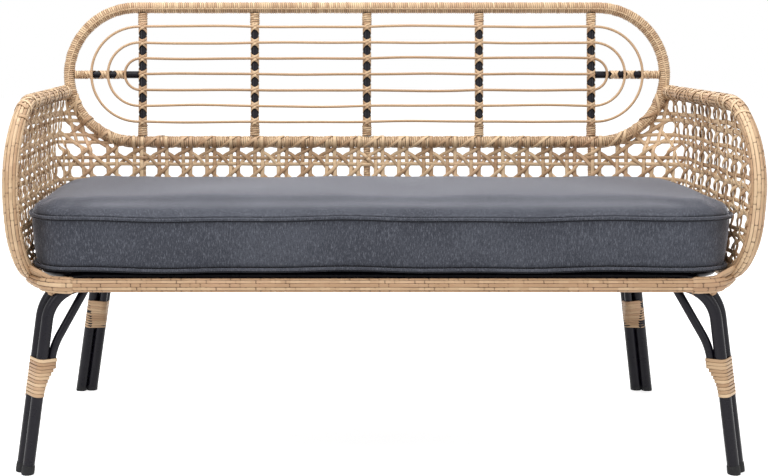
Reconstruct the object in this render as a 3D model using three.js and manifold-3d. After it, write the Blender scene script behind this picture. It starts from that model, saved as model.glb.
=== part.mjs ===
// Woven garden bench for two. A shell of wrapped tube and open cane stands on two pairs of nested
// tube arches, and a loose box cushion lies on a netted seat between the arms.
// Lengths are millimetres: X runs to the right, Y to the back and Z up, and the origin is on the
// floor under the middle of the bench.

import * as THREE from 'three';
import { mergeVertices } from 'three/addons/utils/BufferGeometryUtils.js';
import Module from 'manifold-3d';

const wasm = await Module();
wasm.setup();

const degree = Math.PI / 180;

// Whole bench
const overallWidth = 1376;
const overallDepth = 670;
const overallHeight = 882;
const clearance = 0.3;

// Arm hoops: wrapped tube bent round each arm, widest about half way up
const armTube = 28;
const armTopHeight = 686;
const armWidestHeight = 545;
const armBulgeRadius = 950;
const armTopBend = 165;
const armBottomBend = 110;

// Bottom rail of the shell, which runs round the back between the two hoops
const shellRailHeight = 370;
const shellCornerRadius = 140;
const shellJointStraight = 5;

// Leaning back frame with its bars and cane loops
const backTube = 25;
const backFrameWidth = 1345;
const backFrameRise = 322;
const backRecline = 8.5 * degree;
const barTube = 16;
const barSpacing = 248.5;
const barsEachSide = 2;
const postTube = 16;
const caneDiameter = 5;
const caneSpacing = 35;
const caneLoops = 3;
const frameEndSteps = 14;
const loopEndSteps = [6, 8, 10];

// Open cane panels
const caneThickness = 4;
const rowPitch = 48;
const lowestRowTop = 436;
const armColumnPitch = 55;
const cornerColumnPitch = 52;
const backColumns = 9;
const holeWidth = 29;
const holeHeight = 27;
const holeRim = 3;
const holeSides = 6;
const smallestHoleShare = 0.5;
const curvedEdgeSteps = 4;

// Paired tube arches that form the legs and carry the seat
const legTube = 20;
const frontLegs = {
  name: 'front', toBack: -1, railHeight: 368, railY: -257, footX: 674.5,
  splay: 0.141, rake: 0.065, bend: 88, nestX: 14, nestY: 19.5, bindingBottom: 142,
};
const rearLegSizes = {
  name: 'rear', toBack: 1, footX: 651.5,
  splay: 0.171, rake: 0.153, bend: 88, nestX: 23.5, nestY: 5, bindingBottom: 149,
};
const rearRailUnder = 52 * degree;

// Foot caps
const capDiameter = 24.4;
const capHeight = 17;
const capFloor = 5;
const capRound = 6;

// Braces between the legs and the seat
const braceTube = 16;
const braceFoot = 182;
const braceBendHeight = 238;
const braceBend = 120;
const frontBraceBeside = 16;
const frontBraceTopX = 537;
const rearBraceTopX = 575;

// Bindings wound round each leg pair and its brace
const bindingTop = 220;
const bindingTurns = 10;
const stripWidth = 5.6;
const stripThickness = 1.6;

// Front rail of wrapped tube, between the hoops
const frontRailTube = 26;
const frontRailHeight = 358.5;
const frontRailBend = 75;
const frontRailCornerX = 618;
const frontRailEndY = -235;
const frontRailEndHeight = 364;
const cornerWrapThickness = 3;
const cornerWrapInnerX = 566;
const cornerWrapBackY = -280;

// Seat frame and its net
const seatTube = 18;
const seatTubeHeight = 371;
const seatFrontCorner = 60;
const seatCrossSpacing = 306;
const seatCrossEachSide = 1;
const netThickness = 2.4;
const netHoleWidth = 116;
const netHoleDepth = 78;
const netColumns = 8;
const netRows = 4;
const netHoleSides = 4;
const netEdgeSteps = 3;

// Loose cushion
const cushionHalfWidth = 655;
const cushionFront = -311;
const cushionBack = 239;
const cushionFrontCorner = 75;
const cushionBackCorner = 140;
const cushionSideHeight = 99;
const cushionCrown = 35;
const cushionDrawIn = 5;
const cushionTaper = 10;
const weltRadius = 5;
const weltTurns = [-70, -20, 30, 75];
const drawnShares = [[-0.25, 0.8], [0, 1], [0.25, 0.8]];
// Crown rings from the seam to the middle: how far in, what share of the outline, what share of the rise
const crownRings = [[14, 1, 0.42], [32, 1, 0.74], [50, 0.92, 0.92], [50, 0.5, 1]];
const undersideShares = [0.5, 0.92];

// Smoothness
const bendStep = 13 * degree;
const wrappedSides = 10;
const legSides = 10;
const braceSides = 8;
const caneSides = 6;
const stepsPerTurn = 8;
const cushionSideSteps = 5;
const cushionCornerSteps = 5;

const wrapMaterial = new THREE.MeshStandardMaterial({ color: 0xcda778, roughness: 0.55, metalness: 0 });
const caneMaterial = new THREE.MeshStandardMaterial({ color: 0xc39d70, roughness: 0.6, metalness: 0 });
const steelMaterial = new THREE.MeshStandardMaterial({ color: 0x2c2b2f, roughness: 0.42, metalness: 0.3 });
const rubberMaterial = new THREE.MeshStandardMaterial({ color: 0x19191b, roughness: 0.8, metalness: 0 });
const netMaterial = new THREE.MeshStandardMaterial({ color: 0x2a2523, roughness: 0.8, metalness: 0 });
const clothMaterial = new THREE.MeshStandardMaterial({ color: 0x4b4f56, roughness: 0.95, metalness: 0 });

const bench = new THREE.Group();

function addPiece(name, geometry, material) {
  const mesh = new THREE.Mesh(geometry, material.clone());
  mesh.name = name;
  bench.add(mesh);
}

// Sizes that several pieces share
const armLineX = overallWidth / 2 - armTube / 2;
const hoopFrontY = -overallDepth / 2 + armTube / 2;
const backTubeTop = overallHeight - backTube / 2;
const backHalfRise = (backFrameRise - backTube) / 2;
const backEndCentreX = backFrameWidth / 2 - backTube / 2 - backHalfRise;
const backCentre = new THREE.Vector3(
  0,
  overallDepth / 2 - backTube / 2 - backHalfRise * Math.sin(backRecline),
  backTubeTop - backHalfRise * Math.cos(backRecline),
);
const across = new THREE.Vector3(1, 0, 0);
const upright = new THREE.Vector3(0, 0, 1);
const backUp = new THREE.Vector3(0, Math.sin(backRecline), Math.cos(backRecline));
const backOut = new THREE.Vector3(0, -Math.cos(backRecline), Math.sin(backRecline));

// Half width between the arm tubes' centres at a height: they bulge out and draw in again
function armX(height) {
  return armLineX - (height - armWidestHeight) ** 2 / (2 * armBulgeRadius);
}

function backY(height) {
  return backCentre.y + (height - backCentre.z) * Math.tan(backRecline);
}

function onBack(x, up, out = 0) {
  return backCentre.clone()
    .addScaledVector(across, x)
    .addScaledVector(backUp, up)
    .addScaledVector(backOut, out);
}

// A route is a row of stations. Its sections are turned by a reference direction across the route.
class Route extends THREE.Curve {
  constructor(stations, reference, closed = false) {
    super();
    this.stations = stations;
    this.reference = reference;
    this.closed = closed;
  }

  getPoint(share) {
    const place = share * (this.stations.length - 1);
    const index = Math.min(Math.floor(place), this.stations.length - 2);
    return this.stations[index].clone().lerp(this.stations[index + 1], place - index);
  }

  getSpacedPoints() {
    return this.stations;
  }

  directionAt(index) {
    const count = this.stations.length;
    const here = this.stations[index];
    const before = this.closed ? this.stations[(index + count - 1) % count] : this.stations[index - 1];
    const after = this.closed ? this.stations[(index + 1) % count] : this.stations[index + 1];
    const direction = new THREE.Vector3();
    if (before) direction.add(here.clone().sub(before).normalize());
    if (after) direction.add(after.clone().sub(here).normalize());
    return direction.normalize();
  }

  computeFrenetFrames() {
    const tangents = this.stations.map((_, index) => this.directionAt(index));
    const normals = tangents.map((tangent) => this.reference.clone()
      .addScaledVector(tangent, -this.reference.dot(tangent)).normalize());
    const binormals = tangents.map((tangent, index) => tangent.clone().cross(normals[index]));
    return { tangents, normals, binormals };
  }
}

// A closed body through rings of points: either a loop of rings, or a row with a lid at each end
function loft(rings, closed = false) {
  const count = rings[0].length;
  const positions = rings.flat().flatMap((point) => point.toArray());
  const index = [];
  const spans = closed ? rings.length : rings.length - 1;
  for (let ring = 0; ring < spans; ring += 1) {
    const low = ring * count;
    const high = ((ring + 1) % rings.length) * count;
    for (let side = 0; side < count; side += 1) {
      const next = (side + 1) % count;
      index.push(low + side, low + next, high + next, low + side, high + next, high + side);
    }
  }
  if (!closed) {
    const last = (rings.length - 1) * count;
    const [firstCentre, lastCentre] = [positions.length / 3, positions.length / 3 + 1];
    for (const ring of [rings[0], rings[rings.length - 1]]) {
      const centre = ring.reduce((sum, point) => sum.add(point), new THREE.Vector3());
      positions.push(...centre.divideScalar(count).toArray());
    }
    for (let side = 0; side < count; side += 1) {
      const next = (side + 1) % count;
      index.push(firstCentre, next, side, lastCentre, last + side, last + next);
    }
  }
  const geometry = new THREE.BufferGeometry();
  geometry.setAttribute('position', new THREE.Float32BufferAttribute(positions, 3));
  geometry.setIndex(index);
  return geometry;
}

// A round tube along a route: extruded when its ends are open, lofted into a ring when it is closed
function tube(route, diameter, sides) {
  const turns = Array.from({ length: sides }, (_, side) => (side / sides) * 2 * Math.PI);
  const section = turns.map((turn) => new THREE.Vector2(Math.cos(turn), Math.sin(turn))
    .multiplyScalar(diameter / 2));
  if (!route.closed) {
    const steps = route.stations.length - 1;
    return new THREE.ExtrudeGeometry(new THREE.Shape(section), { steps, extrudePath: route });
  }
  const { normals, binormals } = route.computeFrenetFrames();
  return loft(route.stations.map((station, index) => section.map((point) => station.clone()
    .addScaledVector(normals[index], point.x)
    .addScaledVector(binormals[index], point.y))), true);
}

// Points along a line of corners, with each bend rounded by its own radius
function roundedLine(corners) {
  const points = [corners[0].at];
  for (let index = 1; index < corners.length - 1; index += 1) {
    const { at, bend } = corners[index];
    const into = at.clone().sub(corners[index - 1].at).normalize();
    const away = corners[index + 1].at.clone().sub(at).normalize();
    const turn = into.angleTo(away);
    const start = at.clone().addScaledVector(into, -bend * Math.tan(turn / 2));
    const centre = at.clone().addScaledVector(away.clone().sub(into).normalize(), bend / Math.cos(turn / 2));
    const radial = start.clone().sub(centre);
    const steps = Math.ceil(turn / bendStep);
    for (let step = 0; step <= steps; step += 1) {
      const angle = (turn * step) / steps;
      points.push(centre.clone()
        .addScaledVector(radial, Math.cos(angle))
        .addScaledVector(into, bend * Math.sin(angle)));
    }
  }
  points.push(corners[corners.length - 1].at);
  return points;
}

// A horizontal line of rounded corners at one height
function levelLine(corners, height) {
  return roundedLine(corners.map(([x, y, bend]) => ({ at: new THREE.Vector3(x, y, height), bend })));
}

function toSolid(geometry) {
  const plain = new THREE.BufferGeometry();
  plain.setAttribute('position', geometry.getAttribute('position'));
  plain.setIndex(geometry.getIndex());
  const merged = mergeVertices(plain);
  return new wasm.Manifold(new wasm.Mesh({
    numProp: 3,
    vertProperties: new Float32Array(merged.getAttribute('position').array),
    triVerts: new Uint32Array(merged.getIndex().array),
  }));
}

function toGeometry(solid) {
  const mesh = solid.getMesh();
  const geometry = new THREE.BufferGeometry();
  geometry.setAttribute('position', new THREE.BufferAttribute(mesh.vertProperties, 3));
  geometry.setIndex(new THREE.BufferAttribute(mesh.triVerts, 1));
  return geometry;
}

// Cuts tools out of a body and keeps the largest of the pieces that are left
function cut(geometry, ...tools) {
  const rest = tools.reduce((solid, tool) => solid.subtract(toSolid(tool)), toSolid(geometry));
  return toGeometry(rest.decompose().reduce((best, next) => (next.volume() > best.volume() ? next : best)));
}

function join(geometries) {
  return toGeometry(geometries.map(toSolid).reduce((sum, solid) => sum.add(solid)));
}

// Height where two tubes' surfaces stay one clearance apart, or how far apart their centres lie
function touching(firstDiameter, secondDiameter) {
  return (firstDiameter + secondDiameter) / 2 + clearance;
}

// Sideways distance of two touching tubes whose centres differ in height
function besideBy(firstDiameter, secondDiameter, heightDifference) {
  return Math.sqrt(touching(firstDiameter, secondDiameter) ** 2 - heightDifference ** 2);
}

// The back frame's outline, or one of the cane loops inside it: two straights and two half rounds
function stadium(radius, out, steps) {
  const stations = [1, -1].flatMap((side) => Array.from({ length: steps + 1 }, (_, step) => {
    const turn = side * (Math.PI * (step / steps) - Math.PI / 2);
    return onBack(side * (backEndCentreX + radius * Math.cos(turn)), radius * Math.sin(turn), out);
  }));
  return new Route(stations, backOut, true);
}

const frameRoute = stadium(backHalfRise, 0, frameEndSteps);
const barHalfLength = backHalfRise - backTube / 2 - clearance;
const outerBarX = barsEachSide * barSpacing;
const caneOut = (barTube + caneDiameter) / 2 + clearance;

function backPieces() {
  addPiece('back_frame', tube(frameRoute, backTube, wrappedSides), wrapMaterial);
  for (let bar = -barsEachSide; bar <= barsEachSide; bar += 1) {
    const x = bar * barSpacing;
    const route = new Route([onBack(x, -barHalfLength), onBack(x, barHalfLength)], across);
    addPiece(`back_bar_${bar + barsEachSide + 1}`, tube(route, barTube, braceSides), steelMaterial);
  }
  const stubStart = outerBarX + barTube / 2 + clearance;
  const stubEnd = backEndCentreX + backHalfRise - backTube / 2 - clearance;
  for (const [side, name] of [[-1, 'left'], [1, 'right']]) {
    const route = new Route([onBack(side * stubStart, 0), onBack(side * stubEnd, 0)], backUp);
    addPiece(`${name}_back_stub`, tube(route, barTube, braceSides), steelMaterial);
  }
  for (let loop = 1; loop <= caneLoops; loop += 1) {
    const route = stadium(loop * caneSpacing, caneOut, loopEndSteps[loop - 1]);
    addPiece(`cane_loop_${loop}`, tube(route, caneDiameter, caneSides), caneMaterial);
  }
  const middleEnd = outerBarX + barTube / 2;
  const middle = new Route([onBack(-middleEnd, 0, caneOut), onBack(middleEnd, 0, caneOut)], backUp);
  addPiece('cane_middle_strand', tube(middle, caneDiameter, caneSides), caneMaterial);
}

const railY = backY(shellRailHeight);
const armEndY = railY - shellCornerRadius - shellJointStraight;

// The rear arch bears on the shell's rail from below and behind
const rearLegs = {
  ...rearLegSizes,
  railHeight: shellRailHeight - touching(armTube, legTube) * Math.sin(rearRailUnder),
  railY: railY + touching(armTube, legTube) * Math.cos(rearRailUnder),
};

// The hoop of one arm, from the back frame forward along the top, down the front and back below
function hoopRoute(side) {
  const profile = roundedLine([
    { at: new THREE.Vector3(0, backY(armTopHeight), armTopHeight) },
    { at: new THREE.Vector3(0, hoopFrontY, armTopHeight), bend: armTopBend },
    { at: new THREE.Vector3(0, hoopFrontY, shellRailHeight), bend: armBottomBend },
    { at: new THREE.Vector3(0, armEndY - clearance / 2, shellRailHeight) },
  ]);
  return new Route(profile.map(({ y, z }) => new THREE.Vector3(side * armX(z), y, z)), across);
}

const backRailRoute = new Route(levelLine([
  [armX(shellRailHeight), armEndY + clearance / 2],
  [armX(shellRailHeight), railY, shellCornerRadius],
  [-armX(shellRailHeight), railY, shellCornerRadius],
  [-armX(shellRailHeight), armEndY + clearance / 2],
], shellRailHeight), upright);

function shellPieces() {
  const frameRoom = tube(frameRoute, backTube + 2 * clearance, wrappedSides);
  for (const [side, name] of [[-1, 'left'], [1, 'right']]) {
    addPiece(`${name}_arm_hoop`, cut(tube(hoopRoute(side), armTube, wrappedSides), frameRoom), wrapMaterial);
  }
  addPiece('back_bottom_rail', tube(backRailRoute, armTube, wrappedSides), wrapMaterial);
  const railUp = (shellRailHeight - backCentre.z) / Math.cos(backRecline);
  const postLow = railUp + touching(armTube, 0);
  const postHigh = -backHalfRise - touching(backTube, 0);
  for (const [x, name] of [[-outerBarX, 'left'], [0, 'middle'], [outerBarX, 'right']]) {
    const route = new Route([onBack(x, postLow), onBack(x, postHigh)], across);
    addPiece(`${name}_back_post`, tube(route, postTube, wrappedSides), wrapMaterial);
  }
}

// A sheet collects flat cells in (along, height) and thickens them about a curved surface
class Sheet {
  constructor() {
    this.points = [];
    this.places = new Map();
    this.triangles = [];
  }

  place(point) {
    const key = `${point.x.toFixed(3)},${point.y.toFixed(3)}`;
    if (!this.places.has(key)) {
      this.places.set(key, this.points.length);
      this.points.push(point);
    }
    return this.places.get(key);
  }

  addCell(outline, hole) {
    const all = [...outline, ...hole];
    for (const corners of THREE.ShapeUtils.triangulateShape(outline, hole.length ? [hole] : [])) {
      const [a, b, c] = corners.map((corner) => all[corner]);
      const turn = b.clone().sub(a).cross(c.clone().sub(a));
      this.triangles.push((turn > 0 ? [a, b, c] : [a, c, b]).map((point) => this.place(point)));
    }
  }

  thicken(surface, thickness) {
    const spots = this.points.map((point) => surface(point.x, point.y));
    const [a, b, c] = this.triangles[0].map((corner) => spots[corner]);
    const facing = b.at.clone().sub(a.at).cross(c.at.clone().sub(a.at)).dot(a.out) > 0 ? 1 : -1;
    const layers = [1, -1].flatMap((layer) => spots.map(({ at, out }) => at.clone()
      .addScaledVector(out, (facing * layer * thickness) / 2)));
    const count = spots.length;
    const edges = new Set(this.triangles.flatMap(([p, q, r]) => [`${p},${q}`, `${q},${r}`, `${r},${p}`]));
    const index = this.triangles.flatMap(([p, q, r]) => [p, q, r, count + p, count + r, count + q]);
    for (const edge of edges) {
      const [p, q] = edge.split(',').map(Number);
      if (!edges.has(`${q},${p}`)) index.push(count + p, count + q, q, count + p, q, p);
    }
    const geometry = new THREE.BufferGeometry();
    const positions = layers.flatMap((point) => point.toArray());
    geometry.setAttribute('position', new THREE.Float32BufferAttribute(positions, 3));
    geometry.setIndex(index);
    return geometry;
  }
}

// Rows of cells with one hole each. Rows lie between the given lines, and start and end are the
// panel's edges, which may curve. Columns are counted from the origin by the pitch.
function openPanel({ lines, pitch, start, end, surface, thickness, hole, edgeSteps }) {
  const sheet = new Sheet();
  const rows = lines.slice(0, -1).map((low, row) => {
    const high = lines[row + 1];
    const heights = Array.from({ length: edgeSteps + 1 }, (_, step) => low + ((high - low) * step) / edgeSteps);
    const left = Math.max(...heights.map(start));
    const right = Math.min(...heights.map(end));
    const marks = [];
    for (let mark = Math.ceil(left / pitch); mark <= right / pitch; mark += 1) {
      const along = mark * pitch;
      if (along - left > pitch / 2 && right - along > pitch / 2) marks.push(along);
    }
    return { low, high, heights, left, right, marks };
  });
  const marksOn = (line) => [...(rows[line - 1]?.marks ?? []), ...(rows[line]?.marks ?? [])];
  rows.forEach((row, number) => {
    const inner = row.heights.slice(1, -1);
    const bounds = [null, ...row.marks, null];
    for (let cell = 0; cell < bounds.length - 1; cell += 1) {
      const from = (height) => bounds[cell] ?? start(height);
      const to = (height) => bounds[cell + 1] ?? end(height);
      const between = (line, height) => [...new Set(marksOn(line))].sort((a, b) => a - b)
        .filter((along) => along > from(height) && along < to(height))
        .map((along) => new THREE.Vector2(along, height));
      const outline = [
        new THREE.Vector2(from(row.low), row.low),
        ...between(number, row.low),
        new THREE.Vector2(to(row.low), row.low),
        ...(bounds[cell + 1] === null ? inner.map((height) => new THREE.Vector2(end(height), height)) : []),
        new THREE.Vector2(to(row.high), row.high),
        ...between(number + 1, row.high).reverse(),
        new THREE.Vector2(from(row.high), row.high),
        ...(bounds[cell] === null
          ? [...inner].reverse().map((height) => new THREE.Vector2(start(height), height)) : []),
      ];
      const left = bounds[cell] ?? row.left;
      const right = bounds[cell + 1] ?? row.right;
      sheet.addCell(outline, holeOutline(left, right, row, hole));
    }
  });
  return sheet.thicken(surface, thickness);
}

// A hole in the middle of its cell, narrowed where the cell is small and left out where it is tiny
function holeOutline(left, right, row, hole) {
  const width = Math.min(hole.width, right - left - 2 * hole.rim);
  const height = Math.min(hole.height, row.high - row.low - 2 * hole.rim);
  if (width < hole.width * smallestHoleShare) return [];
  const high = row.high - hole.rim - height / 2;
  const centre = new THREE.Vector2((left + right) / 2, Math.min(high, hole.centre(row)));
  const sideways = (2 * Math.cos(Math.PI / hole.sides));
  const upwards = hole.sides % 4 ? 2 : sideways;
  return Array.from({ length: hole.sides }, (_, side) => {
    const turn = ((side + 0.5) / hole.sides) * 2 * Math.PI;
    return new THREE.Vector2((width * Math.cos(turn)) / sideways, (height * Math.sin(turn)) / upwards).add(centre);
  });
}

// Edge of the corner's cane: at the outer post, or above its top at the back frame's half round
function cornerEdgeX(height) {
  const up = (height - backCentre.z) / Math.cos(backRecline);
  const reach = backHalfRise + touching(backTube, caneThickness);
  const frameEdge = up > -reach ? backEndCentreX + Math.sqrt(reach ** 2 - up ** 2) : 0;
  return Math.max(outerBarX + touching(postTube, 0), frameEdge);
}

const panelEdge = touching(armTube, 0);
const frameFootHeight = backCentre.z - (backHalfRise + touching(backTube, 0)) * Math.cos(backRecline);

function cornerRadiusAt(height) {
  return Math.max(caneThickness, Math.min(shellCornerRadius, armX(height) - cornerEdgeX(height)));
}

// The side of the shell, unrolled: along runs from the back end of the arm panel round the corner
function shellPoint(side, along, height) {
  const radius = cornerRadiusAt(height);
  const straight = backY(height) - radius - armEndY;
  const turn = Math.min(Math.max((along - straight) / radius, 0), Math.PI / 2);
  const before = Math.min(along - straight, 0);
  const beyond = Math.max(along - straight - (radius * Math.PI) / 2, 0);
  const x = armX(height) - radius + radius * Math.cos(turn) - beyond;
  const y = backY(height) - radius + radius * Math.sin(turn) + before;
  return {
    at: new THREE.Vector3(side * x, y, height),
    out: new THREE.Vector3(side * Math.cos(turn), Math.sin(turn), 0),
  };
}

function cornerLength(height) {
  const radius = cornerRadiusAt(height);
  const straight = backY(height) - radius - armEndY;
  return straight + (radius * Math.PI) / 2 + armX(height) - radius - cornerEdgeX(height);
}

// Front edge of an arm panel, just inside the hoop
function armPanelFront(height) {
  const topCentre = armTopHeight - armTopBend;
  const bottomCentre = shellRailHeight + armBottomBend;
  const [bend, centre] = height > topCentre ? [armTopBend, topCentre] : [armBottomBend, bottomCentre];
  const rise = height > topCentre || height < bottomCentre ? height - centre : 0;
  const reach = Math.sqrt(Math.max(0, (bend - panelEdge) ** 2 - rise ** 2));
  return hoopFrontY + bend - reach - armEndY;
}

function canePanels() {
  const lowest = shellRailHeight + panelEdge;
  const highest = armTopHeight - panelEdge;
  const linesUpTo = (top) => {
    const lines = [lowest];
    for (let line = lowestRowTop; line < top - rowPitch / 2; line += rowPitch) lines.push(line);
    return [...lines, top];
  };
  const hole = {
    width: holeWidth, height: holeHeight, rim: holeRim, sides: holeSides,
    centre: ({ low, high }) => (low === lowest ? high - rowPitch / 2 : low + rowPitch / 2),
  };
  const shared = { thickness: caneThickness, hole };
  for (const [side, name] of [[-1, 'left'], [1, 'right']]) {
    const surface = (along, height) => shellPoint(side, along, height);
    addPiece(`${name}_arm_cane`, openPanel({
      ...shared, surface, lines: linesUpTo(highest), pitch: armColumnPitch, edgeSteps: curvedEdgeSteps,
      start: armPanelFront, end: () => -clearance / 2,
    }), caneMaterial);
    addPiece(`${name}_corner_cane`, openPanel({
      ...shared, surface, lines: linesUpTo(highest), pitch: cornerColumnPitch, edgeSteps: curvedEdgeSteps,
      start: () => clearance / 2, end: cornerLength,
    }), caneMaterial);
    const nearEdge = touching(postTube, 0);
    const farEdge = outerBarX - touching(postTube, 0);
    addPiece(`${name}_back_cane`, openPanel({
      ...shared, lines: linesUpTo(frameFootHeight), pitch: (farEdge - nearEdge) / backColumns, edgeSteps: 1,
      start: () => 0, end: () => farEdge - nearEdge,
      surface: (along, height) => ({
        at: new THREE.Vector3(side * (nearEdge + along), backY(height), height),
        out: new THREE.Vector3(0, 1, 0),
      }),
    }), caneMaterial);
  }
}

// Place of a leg at a height, outer or nested inner tube, right-hand side
function legAt(legs, nested, height) {
  return new THREE.Vector3(
    legs.footX - nested * legs.nestX - legs.splay * height,
    legs.railY + legs.toBack * (nested * legs.nestY + (legs.railHeight - height) * legs.rake),
    height,
  );
}

// One arch: a foot, a bend, the rail below the seat, a bend and the other foot
function archRoute(legs, nested) {
  const railHeight = legs.railHeight - nested * legs.nestX;
  const bend = legs.bend - nested * legs.nestX;
  const foot = legAt(legs, nested, capFloor + clearance);
  const corner = legAt(legs, nested, railHeight);
  const flat = (point, side) => new THREE.Vector3(side * point.x, 0, point.z);
  const line = roundedLine([
    { at: flat(foot, -1) },
    { at: flat(corner, -1), bend },
    { at: flat(corner, 1), bend },
    { at: flat(foot, 1) },
  ]);
  const stations = line.map(({ x, z }) => new THREE.Vector3(x, legAt(legs, nested, z).y, z));
  return new Route(stations, new THREE.Vector3(0, 1, 0));
}

// A soft cup over the end of a leg, in line with it and cut flat where it stands
function footCap(legs, nested, side) {
  const wall = capDiameter / 2;
  const bore = (legTube / 2 + clearance) / Math.cos(Math.PI / legSides);
  const profile = [
    [0, -capRound], [wall - capRound, -capRound], [wall, capRound], [wall, capHeight],
    [bore, capHeight], [bore, capFloor], [0, capFloor],
  ].map(([radius, height]) => new THREE.Vector2(radius, height));
  const foot = legAt(legs, nested, 0);
  const direction = legAt(legs, nested, capHeight).sub(foot).normalize();
  foot.x *= side;
  direction.x *= side;
  const cap = new THREE.LatheGeometry(profile, legSides);
  cap.applyQuaternion(new THREE.Quaternion().setFromUnitVectors(new THREE.Vector3(0, 1, 0), direction));
  cap.translate(foot.x, foot.y, foot.z);
  const floor = new THREE.BoxGeometry(2 * capDiameter, 2 * capDiameter, capDiameter);
  floor.translate(foot.x, foot.y, -capDiameter / 2);
  return cut(cap, floor);
}

const frontSeatY = frontLegs.railY + besideBy(legTube, seatTube, seatTubeHeight - frontLegs.railHeight);
const seatInset = besideBy(armTube, seatTube, seatTubeHeight - shellRailHeight);
const rearSeatY = Math.min(
  railY - seatInset,
  backY(seatTubeHeight) - touching(postTube, seatTube) / Math.cos(backRecline),
);
const sideSeatX = armX(shellRailHeight) - seatInset;
const seatRearCorner = shellCornerRadius - (railY - rearSeatY);

// Where the brace's centre runs beside the inner leg tube: inward and behind it at the front legs,
// straight ahead of it at the rear legs
function braceAt(legs, height) {
  const point = legAt(legs, 1, height);
  const apart = touching(legTube, braceTube);
  const beside = legs.toBack < 0 ? frontBraceBeside : 0;
  point.x -= beside / Math.cos(Math.atan(legs.splay));
  point.y -= (legs.toBack * Math.sqrt(apart ** 2 - beside ** 2)) / Math.cos(Math.atan(legs.rake));
  return point;
}

function braceRoute(legs, side) {
  const top = legs.toBack < 0
    ? new THREE.Vector3(frontBraceTopX, frontSeatY, seatTubeHeight)
    : new THREE.Vector3(rearBraceTopX, railY - touching(armTube, braceTube), seatTubeHeight);
  const points = roundedLine([
    { at: braceAt(legs, braceFoot) },
    { at: braceAt(legs, braceBendHeight), bend: braceBend },
    { at: top },
  ]);
  return new Route(points.map(({ x, y, z }) => new THREE.Vector3(side * x, y, z)), new THREE.Vector3(0, 1, 0));
}

// Tubes that the binding goes round at a height
function boundTubes(legs, height) {
  const lean = 1 / Math.cos(Math.atan(Math.hypot(legs.splay, legs.rake)));
  const tubes = [0, 1].map((nested) => ({ centre: legAt(legs, nested, height), radius: (legTube / 2) * lean }));
  if (height > braceFoot - stripWidth) {
    tubes.push({ centre: braceAt(legs, height), radius: (braceTube / 2) * lean });
  }
  return tubes;
}

// A flat strip wound up the leg pair in one unbroken helix, pulled tight over the tubes it holds
function binding(legs, side) {
  const steps = bindingTurns * stepsPerTurn;
  const low = legs.bindingBottom + stripWidth / 2;
  const rise = bindingTop - legs.bindingBottom - stripWidth;
  const axis = legAt(legs, 0, bindingTop).sub(legAt(legs, 0, low)).normalize();
  const turnStep = (2 * Math.PI) / stepsPerTurn;
  const rings = Array.from({ length: steps + 1 }, (_, step) => {
    const height = low + (rise * step) / steps;
    const held = boundTubes(legs, height);
    const [turn, nextTurn] = [step * turnStep, (step + 1) * turnStep];
    const reach = (angle) => clearance + Math.max(...held.map(({ centre, radius }) => (
      centre.x * Math.cos(angle) + centre.y * Math.sin(angle) + radius)));
    const corner = (thickness, up) => {
      const [here, next] = [reach(turn) + thickness, reach(nextTurn) + thickness];
      const beside = (next - here * Math.cos(turnStep)) / Math.sin(turnStep);
      return new THREE.Vector3(
        here * Math.cos(turn) - beside * Math.sin(turn),
        here * Math.sin(turn) + beside * Math.cos(turn),
        height,
      ).addScaledVector(axis, up);
    };
    const edge = stripWidth / 2;
    return [corner(0, -edge), corner(stripThickness, -edge), corner(stripThickness, edge), corner(0, edge)];
  });
  windingGaps.push(leastGap(rings));
  return loft(rings.map((ring) => ring.map(({ x, y, z }) => new THREE.Vector3(side * x, y, z)))
    .map((ring) => (side > 0 ? ring.reverse() : ring)));
}

const windingGaps = [];

// Least distance between points of a winding that lie about one turn apart
function leastGap(rings) {
  let least = Infinity;
  for (let ring = 0; ring < rings.length - stepsPerTurn; ring += 1) {
    for (let later = ring + stepsPerTurn - 1; later < rings.length; later += 1) {
      for (const a of rings[ring]) for (const b of rings[later]) least = Math.min(least, a.distanceTo(b));
    }
  }
  return least;
}

const seatCorners = [
  [sideSeatX, frontSeatY, seatFrontCorner], [sideSeatX, rearSeatY, seatRearCorner],
  [-sideSeatX, rearSeatY, seatRearCorner], [-sideSeatX, frontSeatY, seatFrontCorner],
];
const seatLoop = levelLine([[0, frontSeatY], ...seatCorners, [0, frontSeatY]], seatTubeHeight);
const seatRoute = new Route(seatLoop.slice(0, -1), upright, true);

function legPieces() {
  const railRoom = tube(backRailRoute, armTube + 2 * clearance, wrappedSides);
  const seatRoom = tube(seatRoute, seatTube + 2 * clearance, braceSides);
  for (const legs of [frontLegs, rearLegs]) {
    const archRoom = tube(archRoute(legs, 0), legTube + 2 * clearance, legSides);
    for (const [nested, place] of [[0, 'outer'], [1, 'inner']]) {
      const arch = tube(archRoute(legs, nested), legTube, legSides);
      addPiece(`${legs.name}_leg_arch_${place}`, arch, steelMaterial);
      for (const [side, name] of [[-1, 'left'], [1, 'right']]) {
        addPiece(`${legs.name}_${name}_foot_cap_${place}`, footCap(legs, nested, side), rubberMaterial);
      }
    }
    for (const [side, name] of [[-1, 'left'], [1, 'right']]) {
      const brace = tube(braceRoute(legs, side), braceTube, braceSides);
      addPiece(`${legs.name}_${name}_brace`, cut(brace, railRoom, seatRoom, archRoom), steelMaterial);
      addPiece(`${legs.name}_${name}_leg_binding`, binding(legs, side), caneMaterial);
    }
  }
}

// Front rail: straight across the front, with both ends turned back to the hoops
const innerArch = legAt(frontLegs, 1, frontLegs.railHeight - frontLegs.nestX);
const frontRailY = innerArch.y - besideBy(frontRailTube, legTube, frontRailHeight - innerArch.z);

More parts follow.
